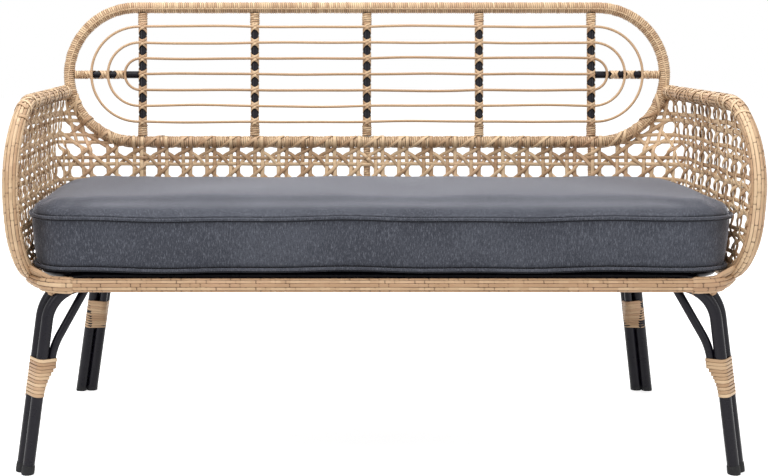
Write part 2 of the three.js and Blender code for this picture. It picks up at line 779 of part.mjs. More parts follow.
function frontRailRoute() {
  const end = armX(frontRailEndHeight);
  return new Route(roundedLine([
    { at: new THREE.Vector3(-end, frontRailEndY, frontRailEndHeight) },
    { at: new THREE.Vector3(-frontRailCornerX, frontRailY, frontRailHeight), bend: frontRailBend },
    { at: new THREE.Vector3(frontRailCornerX, frontRailY, frontRailHeight), bend: frontRailBend },
    { at: new THREE.Vector3(end, frontRailEndY, frontRailEndHeight) },
  ]), upright);
}

// The extra wrap where a rail end passes over the tops of the front legs
function cornerWrapRoute(side) {
  const points = frontRailRoute().stations.filter(({ x, y }) => side * x > cornerWrapInnerX && y < cornerWrapBackY);
  const start = new THREE.Vector3(side * cornerWrapInnerX, frontRailY, frontRailHeight);
  return new Route(side < 0 ? [...points, start] : [start, ...points], upright);
}

function frontRailPieces() {
  const grown = (route, diameter) => tube(route, diameter + 2 * clearance, wrappedSides);
  const hoops = [-1, 1].map((side) => grown(hoopRoute(side), armTube));
  const arches = [0, 1].map((nested) => grown(archRoute(frontLegs, nested), legTube));
  const rail = frontRailRoute();
  addPiece('front_rail', cut(tube(rail, frontRailTube, wrappedSides), ...hoops), wrapMaterial);
  for (const [side, name] of [[-1, 'left'], [1, 'right']]) {
    const sleeve = tube(cornerWrapRoute(side), frontRailTube + 2 * cornerWrapThickness, wrappedSides);
    addPiece(`${name}_corner_wrap`, cut(sleeve, grown(rail, frontRailTube), ...hoops, ...arches), wrapMaterial);
  }
}

function seatPieces() {
  const crossTubes = Array.from({ length: 2 * seatCrossEachSide + 1 }, (_, cross) => {
    const x = (cross - seatCrossEachSide) * seatCrossSpacing;
    return tube(new Route([
      new THREE.Vector3(x, frontSeatY, seatTubeHeight),
      new THREE.Vector3(x, rearSeatY, seatTubeHeight),
    ], upright), seatTube, braceSides);
  });
  addPiece('seat_frame', join([tube(seatRoute, seatTube, braceSides), ...crossTubes]), steelMaterial);

  const netHeight = seatTubeHeight + seatTube / 2 + clearance + netThickness / 2;
  const halfWidth = (y) => {
    const [radius, into] = y < 0
      ? [seatFrontCorner, Math.max(0, frontSeatY + seatFrontCorner - y)]
      : [seatRearCorner, Math.max(0, y - rearSeatY + seatRearCorner)];
    return sideSeatX - radius + Math.sqrt(Math.max(0, radius ** 2 - into ** 2));
  };
  const rowDepth = (rearSeatY - frontSeatY) / netRows;
  addPiece('seat_net', openPanel({
    lines: Array.from({ length: netRows + 1 }, (_, row) => frontSeatY + row * rowDepth),
    pitch: (2 * sideSeatX) / netColumns, edgeSteps: netEdgeSteps, thickness: netThickness,
    start: (y) => -halfWidth(y), end: halfWidth,
    hole: {
      width: netHoleWidth, height: netHoleDepth, rim: holeRim, sides: netHoleSides,
      centre: ({ low, high }) => (low + high) / 2,
    },
    surface: (x, y) => ({ at: new THREE.Vector3(x, y, netHeight), out: upright }),
  }), netMaterial);
  return netHeight + netThickness / 2;
}

// Outline of the cushion, drawn in by an inset: rounded corners with points along the long sides
function cushionOutline(inset) {
  const corners = [
    [1, cushionFront, 1, cushionFrontCorner, -90], [1, cushionBack, -1, cushionBackCorner, 0],
    [-1, cushionBack, -1, cushionBackCorner, 90], [-1, cushionFront, 1, cushionFrontCorner, 180],
  ];
  const points = corners.flatMap(([side, edge, inward, radius, turn]) => {
    const centreX = side * (cushionHalfWidth - radius);
    const centreY = edge + inward * radius;
    return Array.from({ length: cushionCornerSteps + 1 }, (_, step) => {
      const angle = (turn + (90 * step) / cushionCornerSteps) * degree;
      return new THREE.Vector2(Math.cos(angle), Math.sin(angle)).multiplyScalar(radius - inset)
        .add(new THREE.Vector2(centreX, centreY));
    });
  });
  const long = (from, to) => Array.from({ length: cushionSideSteps - 1 }, (_, step) => from.clone()
    .lerp(to, (step + 1) / cushionSideSteps));
  const half = points.length / 2;
  return [
    ...points.slice(0, half), ...long(points[half - 1], points[half]),
    ...points.slice(half), ...long(points[points.length - 1], points[0]),
  ];
}

// A box cushion: flat below, a welt along both seams, drawn-in sides that taper down, a crowned top
function cushionPiece(underside) {
  const centre = new THREE.Vector2(0, (cushionFront + cushionBack) / 2);
  const ring = (inset, scale, height) => cushionOutline(inset).map((point) => {
    const placed = point.sub(centre).multiplyScalar(scale).add(centre);
    return new THREE.Vector3(placed.x, placed.y, height);
  });
  const lowSeam = underside + clearance + weltRadius;
  const highSeam = lowSeam + cushionSideHeight - 2 * weltRadius;
  const taperAt = (height) => (cushionTaper * (highSeam - height)) / (highSeam - lowSeam);
  const welt = (seam) => weltTurns.map((turn) => ring(
    taperAt(seam) + weltRadius * (1 - Math.cos(turn * degree)), 1, seam + weltRadius * Math.sin(turn * degree),
  ));
  const middle = (lowSeam + highSeam) / 2;
  const crown = crownRings.map(([inset, share, rise]) => ring(
    inset, share, highSeam + weltRadius / 2 + cushionCrown * rise,
  ));
  const bottom = undersideShares.map((share) => ring(cushionTaper, share, lowSeam - weltRadius));
  const drawn = drawnShares.map(([share, inward]) => {
    const height = middle + share * (highSeam - lowSeam);
    return ring(taperAt(height) + weltRadius / 2 + cushionDrawIn * inward, 1, height);
  });
  return loft([...bottom, ...welt(lowSeam), ...drawn, ...welt(highSeam), ...crown]);
}

backPieces();
shellPieces();
canePanels();
legPieces();
frontRailPieces();
const seatTop = seatPieces();
addPiece('seat_cushion', cushionPiece(seatTop), clothMaterial);

console.log(`least gap between the turns of a binding: ${Math.min(...windingGaps).toFixed(2)} mm`);

export default bench;
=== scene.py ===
"""Woven garden bench for two: wound tubes, open cane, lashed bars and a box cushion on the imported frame.

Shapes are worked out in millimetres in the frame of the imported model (X right, Y back, Z up, the floor
at 0) and turned into metres when a mesh is made.
"""
import math

import bpy
import numpy as np
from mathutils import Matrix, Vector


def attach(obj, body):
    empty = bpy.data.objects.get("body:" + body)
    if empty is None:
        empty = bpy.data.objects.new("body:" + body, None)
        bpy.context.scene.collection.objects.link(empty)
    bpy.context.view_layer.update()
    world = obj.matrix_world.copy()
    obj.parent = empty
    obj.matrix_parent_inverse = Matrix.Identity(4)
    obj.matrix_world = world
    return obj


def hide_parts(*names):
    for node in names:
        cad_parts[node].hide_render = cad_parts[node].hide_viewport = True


bl_info = {
    "name": "Woven garden bench",
    "version": (1, 0, 0),
    "blender": (4, 5, 0),
    "location": "3D View > Sidebar > Bench",
    "description": "Wound, woven and sewn pieces of a two-seat garden bench",
    "category": "Object",
}

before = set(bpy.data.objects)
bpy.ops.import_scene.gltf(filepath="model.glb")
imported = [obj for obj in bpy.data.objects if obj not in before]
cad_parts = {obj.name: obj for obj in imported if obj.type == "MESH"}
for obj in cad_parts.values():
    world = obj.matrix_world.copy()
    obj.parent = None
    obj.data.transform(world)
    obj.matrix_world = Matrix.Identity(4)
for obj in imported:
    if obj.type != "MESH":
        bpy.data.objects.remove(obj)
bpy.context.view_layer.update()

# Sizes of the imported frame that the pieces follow, with the thin canes drawn a little thicker
OVERALL_WIDTH, OVERALL_DEPTH, OVERALL_HEIGHT = 1376, 670, 882
CLEARANCE = 0.3
ARM_TUBE, ARM_TOP, ARM_WIDEST, ARM_BULGE = 28, 686, 545, 950
ARM_TOP_BEND, ARM_BOTTOM_BEND = 165, 110
SHELL_RAIL, SHELL_CORNER = 370, 140
BACK_TUBE, BACK_WIDTH, BACK_RISE = 25, 1345, 322
RECLINE = math.radians(8.5)
BARS, BAR_TUBE, BAR_SPACING, POST_TUBE = 5, 16, 248.5, 16
CANE_DIAMETER, CANE_SPACING, CANE_LOOPS = 5.8, 35, 3
LEG_TUBE, BRACE_TUBE, SEAT_TUBE, SEAT_HEIGHT = 20, 16, 18, 371
FRONT_LEGS = dict(back=-1, rail_z=368, rail_y=-257, foot_x=674.5, splay=0.141, rake=0.065, bend=88,
                  nest_x=14, nest_y=19.5, binding=142)
REAR_LEGS = dict(back=1, foot_x=651.5, splay=0.171, rake=0.153, bend=88,
                 nest_x=23.5, nest_y=5, binding=149)
REAR_RAIL_UNDER = math.radians(52)
CAP_DIAMETER, CAP_HEIGHT, CAP_FLOOR, COATING = 24.4, 17, 5, 1.1
BRACE_FOOT, BRACE_BEND_HEIGHT, BRACE_BEND = 182, 238, 120
BRACE_BESIDE, FRONT_BRACE_TOP, REAR_BRACE_TOP = 16, 537, 575
BINDING_TOP = 220
RAIL_TUBE, RAIL_HEIGHT, RAIL_BEND, RAIL_CORNER = 26, 358.5, 75, 618
RAIL_END_Y, RAIL_END_HEIGHT = -235, 364
WRAP_INNER, WRAP_BACK = 566, -280
CUSHION_HALF, CUSHION_FRONT, CUSHION_BACK = 655, -311, 239
CUSHION_SIDE, WELT, FRONT_CORNER, BACK_CORNER = 99, 5, 105, 195
NET_COLUMNS, NET_ROWS = 8, 4

# The corner's web of strips, and the tongue of strips over the front legs
WEB_TOP, WEB_BACK, WEB_START, WEB_WIDTH, TONGUE_X = 395, -215, 600, 46, 594
# Distance from turn to turn on the bottom rail, the posts and the bars
WOUND_RAIL_PITCH, WOUND_POST_PITCH, WOUND_BAR_PITCH = 5.2, 5.0, 4.8
# How much of a brace is left out inside its binding and at the seat frame
BRACE_HIDDEN, BRACE_SHORT = 22, 10
# Front bends and cross tubes of the seat frame, and the width of its straps
SEAT_BEND, CROSS_TUBES, STRAP_WIDTH = 60, (-306, 0, 306), 38.0
# How far the left and right ends of each cane loop are drawn in
LOOPS_DRAWN = ((11, 16), (8.5, 12), (7, 8))
# A foot cup's outline: share of its radius, and height
CUP_OUTLINE = ((0.02, -5), (0.6, -5), (0.85, -3.5), (0.97, -1), (1, 2.5), (1, 12), (0.99, 14),
               (0.965, 14.6), (0.965, 15.4), (0.99, 16), (0.97, 17), (0.86, 17.2), (0.8, 16.4))
# Frames of the cushion's filling, and its pressure
SWELL_FRAMES, SWELL_PRESSURE = 20, 4.0
SIDES = ((-1, "left"), (1, "right"))
LEG_PAIRS = (("front", FRONT_LEGS), ("rear", REAR_LEGS))
NESTED = ((0, "outer"), (1, "inner"))

# Camera and lamps: pixels of the picture, metres, degrees and watts
IMAGE_WIDTH, FOCAL_PIXELS, CENTRE_PIXEL, SENSOR = 768, 1400.5, 292.07, 36
CAMERA_PLACE, CAMERA_TILT = (-0.1660, -2.8253, 0.8229), 8.486
LAMPS = (("overhead", (-0.3, -0.4, 2.9), 2.6, 70.0), ("left", (-2.6, -2.6, 1.7), 1.8, 24.0),
         ("right", (2.6, -2.8, 1.5), 1.8, 18.0), ("behind", (0.6, 2.6, 2.2), 2.2, 16.0))
WORLD_LEVEL, FLOOR_GLOW = 0.52, 0.66

# A metre in millimetres
METRE = 1000
FULL_TURN = 2 * math.pi
ARM_LINE = OVERALL_WIDTH / 2 - ARM_TUBE / 2
HOOP_FRONT = -OVERALL_DEPTH / 2 + ARM_TUBE / 2
HALF_RISE = (BACK_RISE - BACK_TUBE) / 2
END_CENTRE = BACK_WIDTH / 2 - BACK_TUBE / 2 - HALF_RISE
BAR_HALF = HALF_RISE - BACK_TUBE / 2 - CLEARANCE
END_BAR = 2 * BAR_SPACING
BACK_Y = OVERALL_DEPTH / 2 - BACK_TUBE / 2 - HALF_RISE * math.sin(RECLINE)
BACK_Z = OVERALL_HEIGHT - BACK_TUBE / 2 - HALF_RISE * math.cos(RECLINE)
ACROSS, UPRIGHT, AHEAD = np.array([1.0, 0, 0]), np.array([0, 0, 1.0]), np.array([0, 1.0, 0])
BACK_UP = np.array([0, math.sin(RECLINE), math.cos(RECLINE)])
BACK_OUT = np.array([0, -math.cos(RECLINE), math.sin(RECLINE)])


def arm_x(z):
    return ARM_LINE - (z - ARM_WIDEST) ** 2 / (2 * ARM_BULGE)


def back_y(z):
    return BACK_Y + (z - BACK_Z) * math.tan(RECLINE)


def on_back(x, up, out=0.0):
    """Point on the leaning back: x across, up along it and out towards the seat."""
    x, up, out = np.broadcast_arrays(np.asarray(x, float), up, out)
    middle = np.array([0, BACK_Y, BACK_Z])
    return middle + x[..., None] * ACROSS + up[..., None] * BACK_UP + out[..., None] * BACK_OUT


def touching(first, second):
    """Distance between the centre lines of two tubes that lie together."""
    return (first + second) / 2 + CLEARANCE


def beside(first, second, rise):
    """How far apart such tubes lie sideways when one is higher by rise."""
    return math.sqrt(touching(first, second) ** 2 - rise ** 2)


RAIL_Y = back_y(SHELL_RAIL)
ARM_END = RAIL_Y - SHELL_CORNER - 5
REAR_LEGS["rail_z"] = SHELL_RAIL - touching(ARM_TUBE, LEG_TUBE) * math.sin(REAR_RAIL_UNDER)
REAR_LEGS["rail_y"] = RAIL_Y + touching(ARM_TUBE, LEG_TUBE) * math.cos(REAR_RAIL_UNDER)
SEAT_FRONT = FRONT_LEGS["rail_y"] + beside(LEG_TUBE, SEAT_TUBE, SEAT_HEIGHT - FRONT_LEGS["rail_z"])
SEAT_INSET = beside(ARM_TUBE, SEAT_TUBE, SEAT_HEIGHT - SHELL_RAIL)
SEAT_REAR = min(RAIL_Y - SEAT_INSET,
                back_y(SEAT_HEIGHT) - touching(POST_TUBE, SEAT_TUBE) / math.cos(RECLINE))
SEAT_SIDE = arm_x(SHELL_RAIL) - SEAT_INSET
NET_Z = SEAT_HEIGHT + SEAT_TUBE / 2 + CLEARANCE + 1.2
CUSHION_LOW = NET_Z + 1.2 + CLEARANCE + WELT
CUSHION_HIGH = CUSHION_LOW + CUSHION_SIDE - 2 * WELT
# The filled cushion presses against the arms, and its top seam is drawn up a little
PAD_HALF, PAD_DRAWN, SEAM_Z, PAD_TOP, CROWN_REACH = CUSHION_HALF + 6, 7, CUSHION_HIGH + 5, 508, 70


# Centre lines
def rounded(corners, step=math.radians(3)):
    """Points along a line of (point, bend radius) corners, each bend rounded."""
    corners = [(np.asarray(at, float), bend) for at, bend in corners]
    points = [corners[0][0]]
    for (before, _), (at, bend), (after, _) in zip(corners, corners[1:], corners[2:]):
        into = (at - before) / np.linalg.norm(at - before)
        away = (after - at) / np.linalg.norm(after - at)
        turn = math.acos(np.clip(into @ away, -1, 1))
        start = at - into * bend * math.tan(turn / 2)
        inward = (away - into) / np.linalg.norm(away - into)
        centre = at + inward * bend / math.cos(turn / 2)
        for angle in np.linspace(0, turn, math.ceil(turn / step) + 1):
            points.append(centre + (start - centre) * math.cos(angle) + into * bend * math.sin(angle))
    points.append(corners[-1][0])
    return np.array(points)


class Line:
    """A centre line, evenly spaced, with a frame across it that a reference direction turns."""

    def __init__(self, points, reference, closed=False, spacing=1.5):
        points = np.asarray(points, float)
        if closed:
            points = np.vstack([points, points[:1]])
        steps = np.linalg.norm(np.diff(points, axis=0), axis=1)
        marks = np.concatenate([[0], np.cumsum(steps)])
        self.length, self.closed = marks[-1], closed
        self.marks = np.linspace(0, self.length, max(3, round(self.length / spacing) + 1))
        self.centres = self._between(self.marks, marks, points)
        if closed:
            ring = self.centres[:-1]
            along = np.roll(ring, -1, axis=0) - np.roll(ring, 1, axis=0)
            along = np.vstack([along, along[:1]])
        else:
            along = np.gradient(self.centres, axis=0)
        self.along = unit(along)
        reference = np.asarray(reference, float)
        self.first = unit(reference - (self.along @ reference)[:, None] * self.along)
        self.second = np.cross(self.along, self.first)

    @staticmethod
    def _between(wanted, marks, values):
        return np.stack([np.interp(wanted, marks, values[:, axis]) for axis in range(3)], axis=-1)

    def at(self, place):
        """Centre, first and second cross direction and course at arc lengths."""
        place = np.mod(place, self.length) if self.closed else np.clip(place, 0, self.length)
        return [self._between(place, self.marks, values)
                for values in (self.centres, self.first, self.second, self.along)]

    def skin(self, place, turn, radius):
        """Point on a round surface about the line, and the direction out of it."""
        place, turn, radius = np.broadcast_arrays(*map(np.asarray, (place, turn, radius)))
        centre, first, second, _ = self.at(place)
        out = np.cos(turn)[..., None] * first + np.sin(turn)[..., None] * second
        return centre + radius[..., None] * out, out


def unit(vectors):
    """The vectors' directions, each with a length of 1."""
    return vectors / np.maximum(np.linalg.norm(vectors, axis=-1, keepdims=True), 1e-9)


def stadium(radius, out=0.0, drawn=(0.0, 0.0)):
    """The back frame's outline or a cane loop inside it, whose left and right ends may be drawn in."""
    turns = np.linspace(-math.pi / 2, math.pi / 2, 61)
    right = on_back(END_CENTRE - drawn[1] + radius * np.cos(turns), radius * np.sin(turns), out)
    left = on_back(-END_CENTRE + drawn[0] - radius * np.cos(-turns), radius * np.sin(-turns), out)
    return Line(np.vstack([right, left]), BACK_OUT, closed=True)


FRAME_LINE = stadium(HALF_RISE)


def hoop_line(side):
    profile = rounded([
        ((0, back_y(ARM_TOP) - 3, ARM_TOP), 0), ((0, HOOP_FRONT, ARM_TOP), ARM_TOP_BEND),
        ((0, HOOP_FRONT, SHELL_RAIL), ARM_BOTTOM_BEND), ((0, ARM_END, SHELL_RAIL), 0)])
    fine = Line(profile, ACROSS, spacing=4).centres
    return Line(np.column_stack([side * arm_x(fine[:, 2]), fine[:, 1], fine[:, 2]]), ACROSS)


def shell_rail_line():
    x = arm_x(SHELL_RAIL)
    return Line(rounded([((x, ARM_END, SHELL_RAIL), 0), ((x, RAIL_Y, SHELL_RAIL), SHELL_CORNER),
                         ((-x, RAIL_Y, SHELL_RAIL), SHELL_CORNER), ((-x, ARM_END, SHELL_RAIL), 0)]), UPRIGHT)


def leg_at(legs, nested, z):
    return np.array([
        legs["foot_x"] - nested * legs["nest_x"] - legs["splay"] * z,
        legs["rail_y"] + legs["back"] * (nested * legs["nest_y"] + (legs["rail_z"] - z) * legs["rake"]),
        z,
    ])


def arch_line(legs, nested):
    bend = legs["bend"] - nested * legs["nest_x"]
    foot = leg_at(legs, nested, CAP_FLOOR + CLEARANCE)
    corner = leg_at(legs, nested, legs["rail_z"] - nested * legs["nest_x"])
    flat = rounded([((-foot[0], 0, foot[2]), 0), ((-corner[0], 0, corner[2]), bend),
                    ((corner[0], 0, corner[2]), bend), ((foot[0], 0, foot[2]), 0)])
    return Line([(x, leg_at(legs, nested, z)[1], z) for x, _, z in flat], AHEAD)


def brace_at(legs, z):
    point = leg_at(legs, 1, z)
    sideways = BRACE_BESIDE if legs["back"] < 0 else 0
    apart = touching(LEG_TUBE, BRACE_TUBE)
    point[0] -= sideways / math.cos(math.atan(legs["splay"]))
    point[1] -= legs["back"] * math.sqrt(apart ** 2 - sideways ** 2) / math.cos(math.atan(legs["rake"]))
    return point


def brace_line(legs, side):
    top = (FRONT_BRACE_TOP, SEAT_FRONT, SEAT_HEIGHT) if legs["back"] < 0 else (
        REAR_BRACE_TOP, RAIL_Y - touching(ARM_TUBE, BRACE_TUBE), SEAT_HEIGHT)
    points = rounded([(brace_at(legs, BRACE_FOOT), 0), (brace_at(legs, BRACE_BEND_HEIGHT), BRACE_BEND),
                      (top, 0)])
    return Line(points * (side, 1, 1), AHEAD)


def front_rail_line():
    inner = leg_at(FRONT_LEGS, 1, FRONT_LEGS["rail_z"] - FRONT_LEGS["nest_x"])
    y = inner[1] - beside(RAIL_TUBE, LEG_TUBE, RAIL_HEIGHT - inner[2])
    end = arm_x(RAIL_END_HEIGHT)
    corners = [((-end, RAIL_END_Y, RAIL_END_HEIGHT), 0), ((-RAIL_CORNER, y, RAIL_HEIGHT), RAIL_BEND),
               ((RAIL_CORNER, y, RAIL_HEIGHT), RAIL_BEND), ((end, RAIL_END_Y, RAIL_END_HEIGHT), 0)]
    return Line(rounded(corners), UPRIGHT)


# Meshes
class Bundle:
    """Strands and skins gathered into one mesh. Each point keeps the tone of its strand, its painted shade
    (how deep in a groove it lies) and its lay: how far along, how far across, and which strand."""

    def __init__(self):
        self.points, self.faces, self.tones, self.hollows, self.lays = [], [], [], [], []
        self.count = 0

    def _add(self, points, faces, tone, hollow, lay):
        flat = points.reshape(-1, 3)
        a, b, c, d = (flat[faces[:, corner]] for corner in range(4))
        middle = flat.mean(axis=0)
        volume = np.einsum("ij,ij->", a - middle, np.cross(b - middle, c - middle))
        volume += np.einsum("ij,ij->", a - middle, np.cross(c - middle, d - middle))
        if volume < 0:
            faces = faces[:, ::-1]
        self.points.append(flat)
        self.faces.append(faces + self.count)
        self.tones.append(np.broadcast_to(tone, points.shape[:-1]).reshape(-1))
        self.hollows.append(np.broadcast_to(hollow, points.shape[:-1]).reshape(-1))
        self.lays.append(np.broadcast_to(lay, points.shape).reshape(-1, 3))
        self.count += len(flat)
        return volume < 0

    def grid(self, points, tone=0.5, hollow=0.0, lay=(0, 0, 0), closed=False):
        """A skin through rows of points that close on themselves."""
        rows, ring = points.shape[:2]
        index = np.arange(rows * ring).reshape(rows, ring)
        low, high = (index, np.roll(index, -1, axis=0)) if closed else (index[:-1], index[1:])
        quads = np.stack([low, np.roll(low, -1, 1), np.roll(high, -1, 1), high], axis=-1).reshape(-1, 4)
        start = self.count
        turned = self._add(points, quads, tone, hollow, lay)
        if not closed:
            first, last = index[0] + start, index[-1] + start
            self.faces += [(first if turned else first[::-1])[None], (last[::-1] if turned else last)[None]]

    def piece(self, name, finish, slot, nodes, body="bench"):
        """Makes the mesh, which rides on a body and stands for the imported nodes."""
        mesh = bpy.data.meshes.new(name)
        points = np.concatenate(self.points) / METRE
        mesh.vertices.add(len(points))
        mesh.vertices.foreach_set("co", points.astype(np.float32).ravel())
        corners = np.concatenate([faces.ravel() for faces in self.faces])
        totals = np.concatenate([np.full(len(faces), faces.shape[1]) for faces in self.faces])
        mesh.loops.add(len(corners))
        mesh.loops.foreach_set("vertex_index", corners.astype(np.int32))
        mesh.polygons.add(len(totals))
        starts = np.concatenate([[0], np.cumsum(totals)[:-1]])
        mesh.polygons.foreach_set("loop_start", starts.astype(np.int32))
        mesh.polygons.foreach_set("loop_total", totals.astype(np.int32))
        mesh.polygons.foreach_set("use_smooth", np.ones(len(totals), bool))
        mesh.update(calc_edges=True)
        for title, values in (("tone", self.tones), ("hollow", self.hollows)):
            store = mesh.attributes.new(title, "FLOAT", "POINT")
            store.data.foreach_set("value", np.concatenate(values).astype(np.float32))
        store = mesh.attributes.new("lay", "FLOAT_VECTOR", "POINT")
        store.data.foreach_set("vector", (np.concatenate(self.lays) / METRE).astype(np.float32).ravel())
        thing = bpy.data.objects.new(name, mesh)
        bpy.context.scene.collection.objects.link(thing)
        return settle(thing, finish, nodes, body)


def settle(thing, finish, nodes, body):
    """Gives a piece its finish and body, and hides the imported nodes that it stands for."""
    thing.data.materials.clear()
    thing.data.materials.append(finish)
    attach(thing, body)
    if nodes:
        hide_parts(*nodes)
    return thing


def tube(bundle, line, radius, sides=24, start=0.0, end=None):
    """A smooth round tube."""
    end = line.length if end is None else end
    count = max(2, round((end - start) / TUBE_RINGS_APART) + 1)
    places = np.linspace(start, end, count)
    if line.closed:
        places = places[:-1]
    turns = np.arange(sides) / sides * FULL_TURN
    points, _ = line.skin(places[:, None], turns[None, :], radius)
    lay = np.stack(np.broadcast_arrays(places[:, None], turns[None, :] * radius, 0.0), axis=-1)
    bundle.grid(points, lay=lay, closed=line.closed)


# Powers that round the backs of wound and plaited strips
WOUND_ROUNDNESS, PLAITED_ROUNDNESS = 2.4, 3
# How uneven wound turns are, and the least and most of their rise, as shares
TURN_UNEVENNESS, LEAST_RISE, MOST_RISE = 0.22, 0.5, 1.3
# How far apart the patterns of one strand and the next lie in the strand finish
WOUND_APART, PLAIT_APART, RIBBON_APART = 7.0, 11.0, 13.0
# Distance between the rings of points of a plain tube
TUBE_RINGS_APART = 4.0
# Plaited strips: points across one, distance between rings, beats before the draws repeat, how beats stray
PLAIT_ACROSS, PLAIT_RINGS_APART, BEATS, BEAT_STRAYS = 6, 2.2, 512, 0.06
# How far a crossing reaches to either side along a strip, and the share of the strip's rise that it sinks
CROSSING_HALF, CROSSING_SINKS = 1.5, 0.6
# Shares of a strand's own tone and of each beat's tone
STRAND_TONE, BEAT_TONE = 0.65, 0.35
# Painted shade in the grooves: least, how much and over what length it varies; and painted shade at crossings
GROOVE_LEAST, GROOVE_VARIES, GROOVE_WAVE, CROSSING_SHADE = 0.74, 0.26, 37, 0.95


def strip_back(share, roundness):
    """Height of a strip's rounded back, 0 at both edges and 1 in its middle."""
    return np.sqrt(np.clip(1 - (2 * np.abs(share - 0.5)) ** roundness, 0, 1))


def wind(bundle, line, radius, pitch, rise, rng, start=0.0, end=None, sides=20, samples=4):
    """A strip wound round a tube, turn beside turn, as one spiral skin with a groove between turns."""
    end = line.length if end is None else end
    turns = max(2, round((end - start) / pitch))
    pitch = (end - start) / turns
    rows = turns * samples if line.closed else (turns + 1) * samples + 1
    row, column = np.meshgrid(np.arange(rows), np.arange(sides), indexing="ij")
    place = start + (row / samples + column / sides - (0 if line.closed else 1)) * pitch
    if not line.closed:
        place = np.clip(place, start, end)
    share = (row % samples) / samples
    crown = strip_back(share, WOUND_ROUNDNESS)
    uneven = 1 + TURN_UNEVENNESS * rng.standard_normal(turns + 2)[row // samples % (turns + 2)]
    reach = radius + rise * crown * np.clip(uneven, LEAST_RISE, MOST_RISE)
    turn = column / sides * FULL_TURN
    points, _ = line.skin(place, turn, reach)
    tones = rng.random(turns + 2)[row // samples % (turns + 2)]
    lay = np.stack([turn * radius + row // samples * FULL_TURN * radius, share * pitch,
                    row // samples * WOUND_APART], axis=-1)
    # The strip's back falls away between turns, and 1 - crown gives it painted shade there
    index = np.arange(rows * sides).reshape(rows, sides)
    if line.closed:
        after = np.roll(index, -1, axis=0)
        beyond = np.roll(index, -samples, axis=0)[:, 0]
        side = np.column_stack([index[:, 1:], beyond])
        side_after = np.column_stack([after[:, 1:], np.roll(index, -samples - 1, axis=0)[:, 0]])
        quads = np.stack([index, side, side_after, after], axis=-1).reshape(-1, 4)
        bundle._add(points, quads, tones, 1 - crown, lay)
        return
    low, high = index[:-1], index[1:]
    quads = [np.stack([low[:, :-1], low[:, 1:], high[:, 1:], high[:, :-1]], axis=-1).reshape(-1, 4)]
    near, far = index[:-samples - 1, -1], index[samples:-1, 0]
    quads.append(np.stack([near, far, far + sides, near + sides], axis=-1))
    quads = np.concatenate(quads)
    places = place.reshape(-1)[quads]
    bundle._add(points, quads[np.ptp(places, axis=1) > 1e-6], tones, 1 - crown, lay)


def plait(bundle, line, radius, strands, float_length, rise, rng, start=0.0, end=None, taper=0.0, shade=0.0):
    """Lengthwise strips side by side round a tube, each dipping here and there under a cross strand."""
    end = line.length if end is None else end
    places = np.linspace(start, end, round((end - start) / PLAIT_RINGS_APART) + 1)
    strand, part = np.divmod(np.arange(strands * PLAIT_ACROSS), PLAIT_ACROSS)
    share = part / PLAIT_ACROSS
    crown = strip_back(share, PLAITED_ROUNDNESS)
    strays = BEAT_STRAYS * rng.standard_normal(strands)[strand]
    phase = places[:, None] / float_length + (strand % 2)[None] * 0.5 + strays
    beat = np.floor(phase)
    which = beat.astype(int) % BEATS
    depth = np.clip(rng.random((strands, BEATS)) * 1.5 - 0.35, 0.06, 1)[strand[None], which]
    dip = depth * np.exp(-(((phase - beat - 0.5) * float_length) / CROSSING_HALF) ** 2)
    edge = 1 if not taper else np.clip(np.minimum(places - start, end - places) / taper, 0, 1)[:, None]
    reach = radius - taper * 0.25 * (1 - edge) ** 2 + rise * crown[None] * (1 - CROSSING_SINKS * dip)
    turn = (strand + share) / strands * FULL_TURN
    points, _ = line.skin(places[:, None], turn[None], reach)
    long_tone, beat_tone = rng.random(strands), rng.random((strands, BEATS))
    # shade lowers every tone: painted shade for strips that lie in shade
    tones = beat_tone[strand[None], which] * BEAT_TONE + long_tone[strand][None] * STRAND_TONE - shade
    # Painted shade in the grooves between strips and where a strip dips under a crossing
    groove = GROOVE_LEAST + GROOVE_VARIES * np.sin(places / GROOVE_WAVE)[:, None] ** 2
    hollow = np.clip((1 - crown[None]) * groove + CROSSING_SHADE * dip, 0, 1)
    lay = np.stack(np.broadcast_arrays(places[:, None], (turn * radius)[None], strand[None] * PLAIT_APART),
                   axis=-1)
    bundle.grid(points, tones, hollow, lay)


# A flat strip's outline as shares of its width and thickness, and how much painted shade its two edges get
STRIP_ACROSS = np.array([-0.5, -0.3, 0.3, 0.5, 0.3, -0.3])
STRIP_OUT = np.array([0.0, 0.5, 0.5, 0.0, -0.5, -0.5])
EDGE_SHADE = 0.75


def ribbon(bundle, centres, outs, width, thickness, tone, number=0.0):
    """A flat strip with rounded edges along points, facing out."""
    course = unit(np.gradient(centres, axis=0))
    sideways = unit(np.cross(course, outs))
    facing = np.cross(sideways, course)
    width, thickness = (np.broadcast_to(value, len(centres)) for value in (width, thickness))
    across, out = STRIP_ACROSS[None] * width[:, None], STRIP_OUT[None] * thickness[:, None]
    points = centres[:, None] + across[..., None] * sideways[:, None] + out[..., None] * facing[:, None]
    run = np.concatenate([[0], np.cumsum(np.linalg.norm(np.diff(centres, axis=0), axis=1))])
    lay = np.stack(np.broadcast_arrays(run[:, None], across, number * RIBBON_APART), axis=-1)
    # Painted shade along the strip's two edges
    hollow = np.broadcast_to(np.where(np.abs(STRIP_ACROSS) > 0.4, EDGE_SHADE, 0.0)[None], points.shape[:2])
    bundle.grid(points, tone, hollow, lay)


def band(bundle, line, place, radius, first, last, slope, width, thickness, tone, number=0.0):
    """A strip laid round a tube from one turn to another, moving along by slope times its run."""
    turns = np.linspace(first, last, max(6, round(abs(last - first) / 0.28)))
    reach = np.full(len(turns), float(radius))
    places = place + slope * np.mean(reach) * np.abs(turns - first)
    points, outs = line.skin(places, turns, reach)
    ribbon(bundle, points, outs, width, thickness, tone, number)


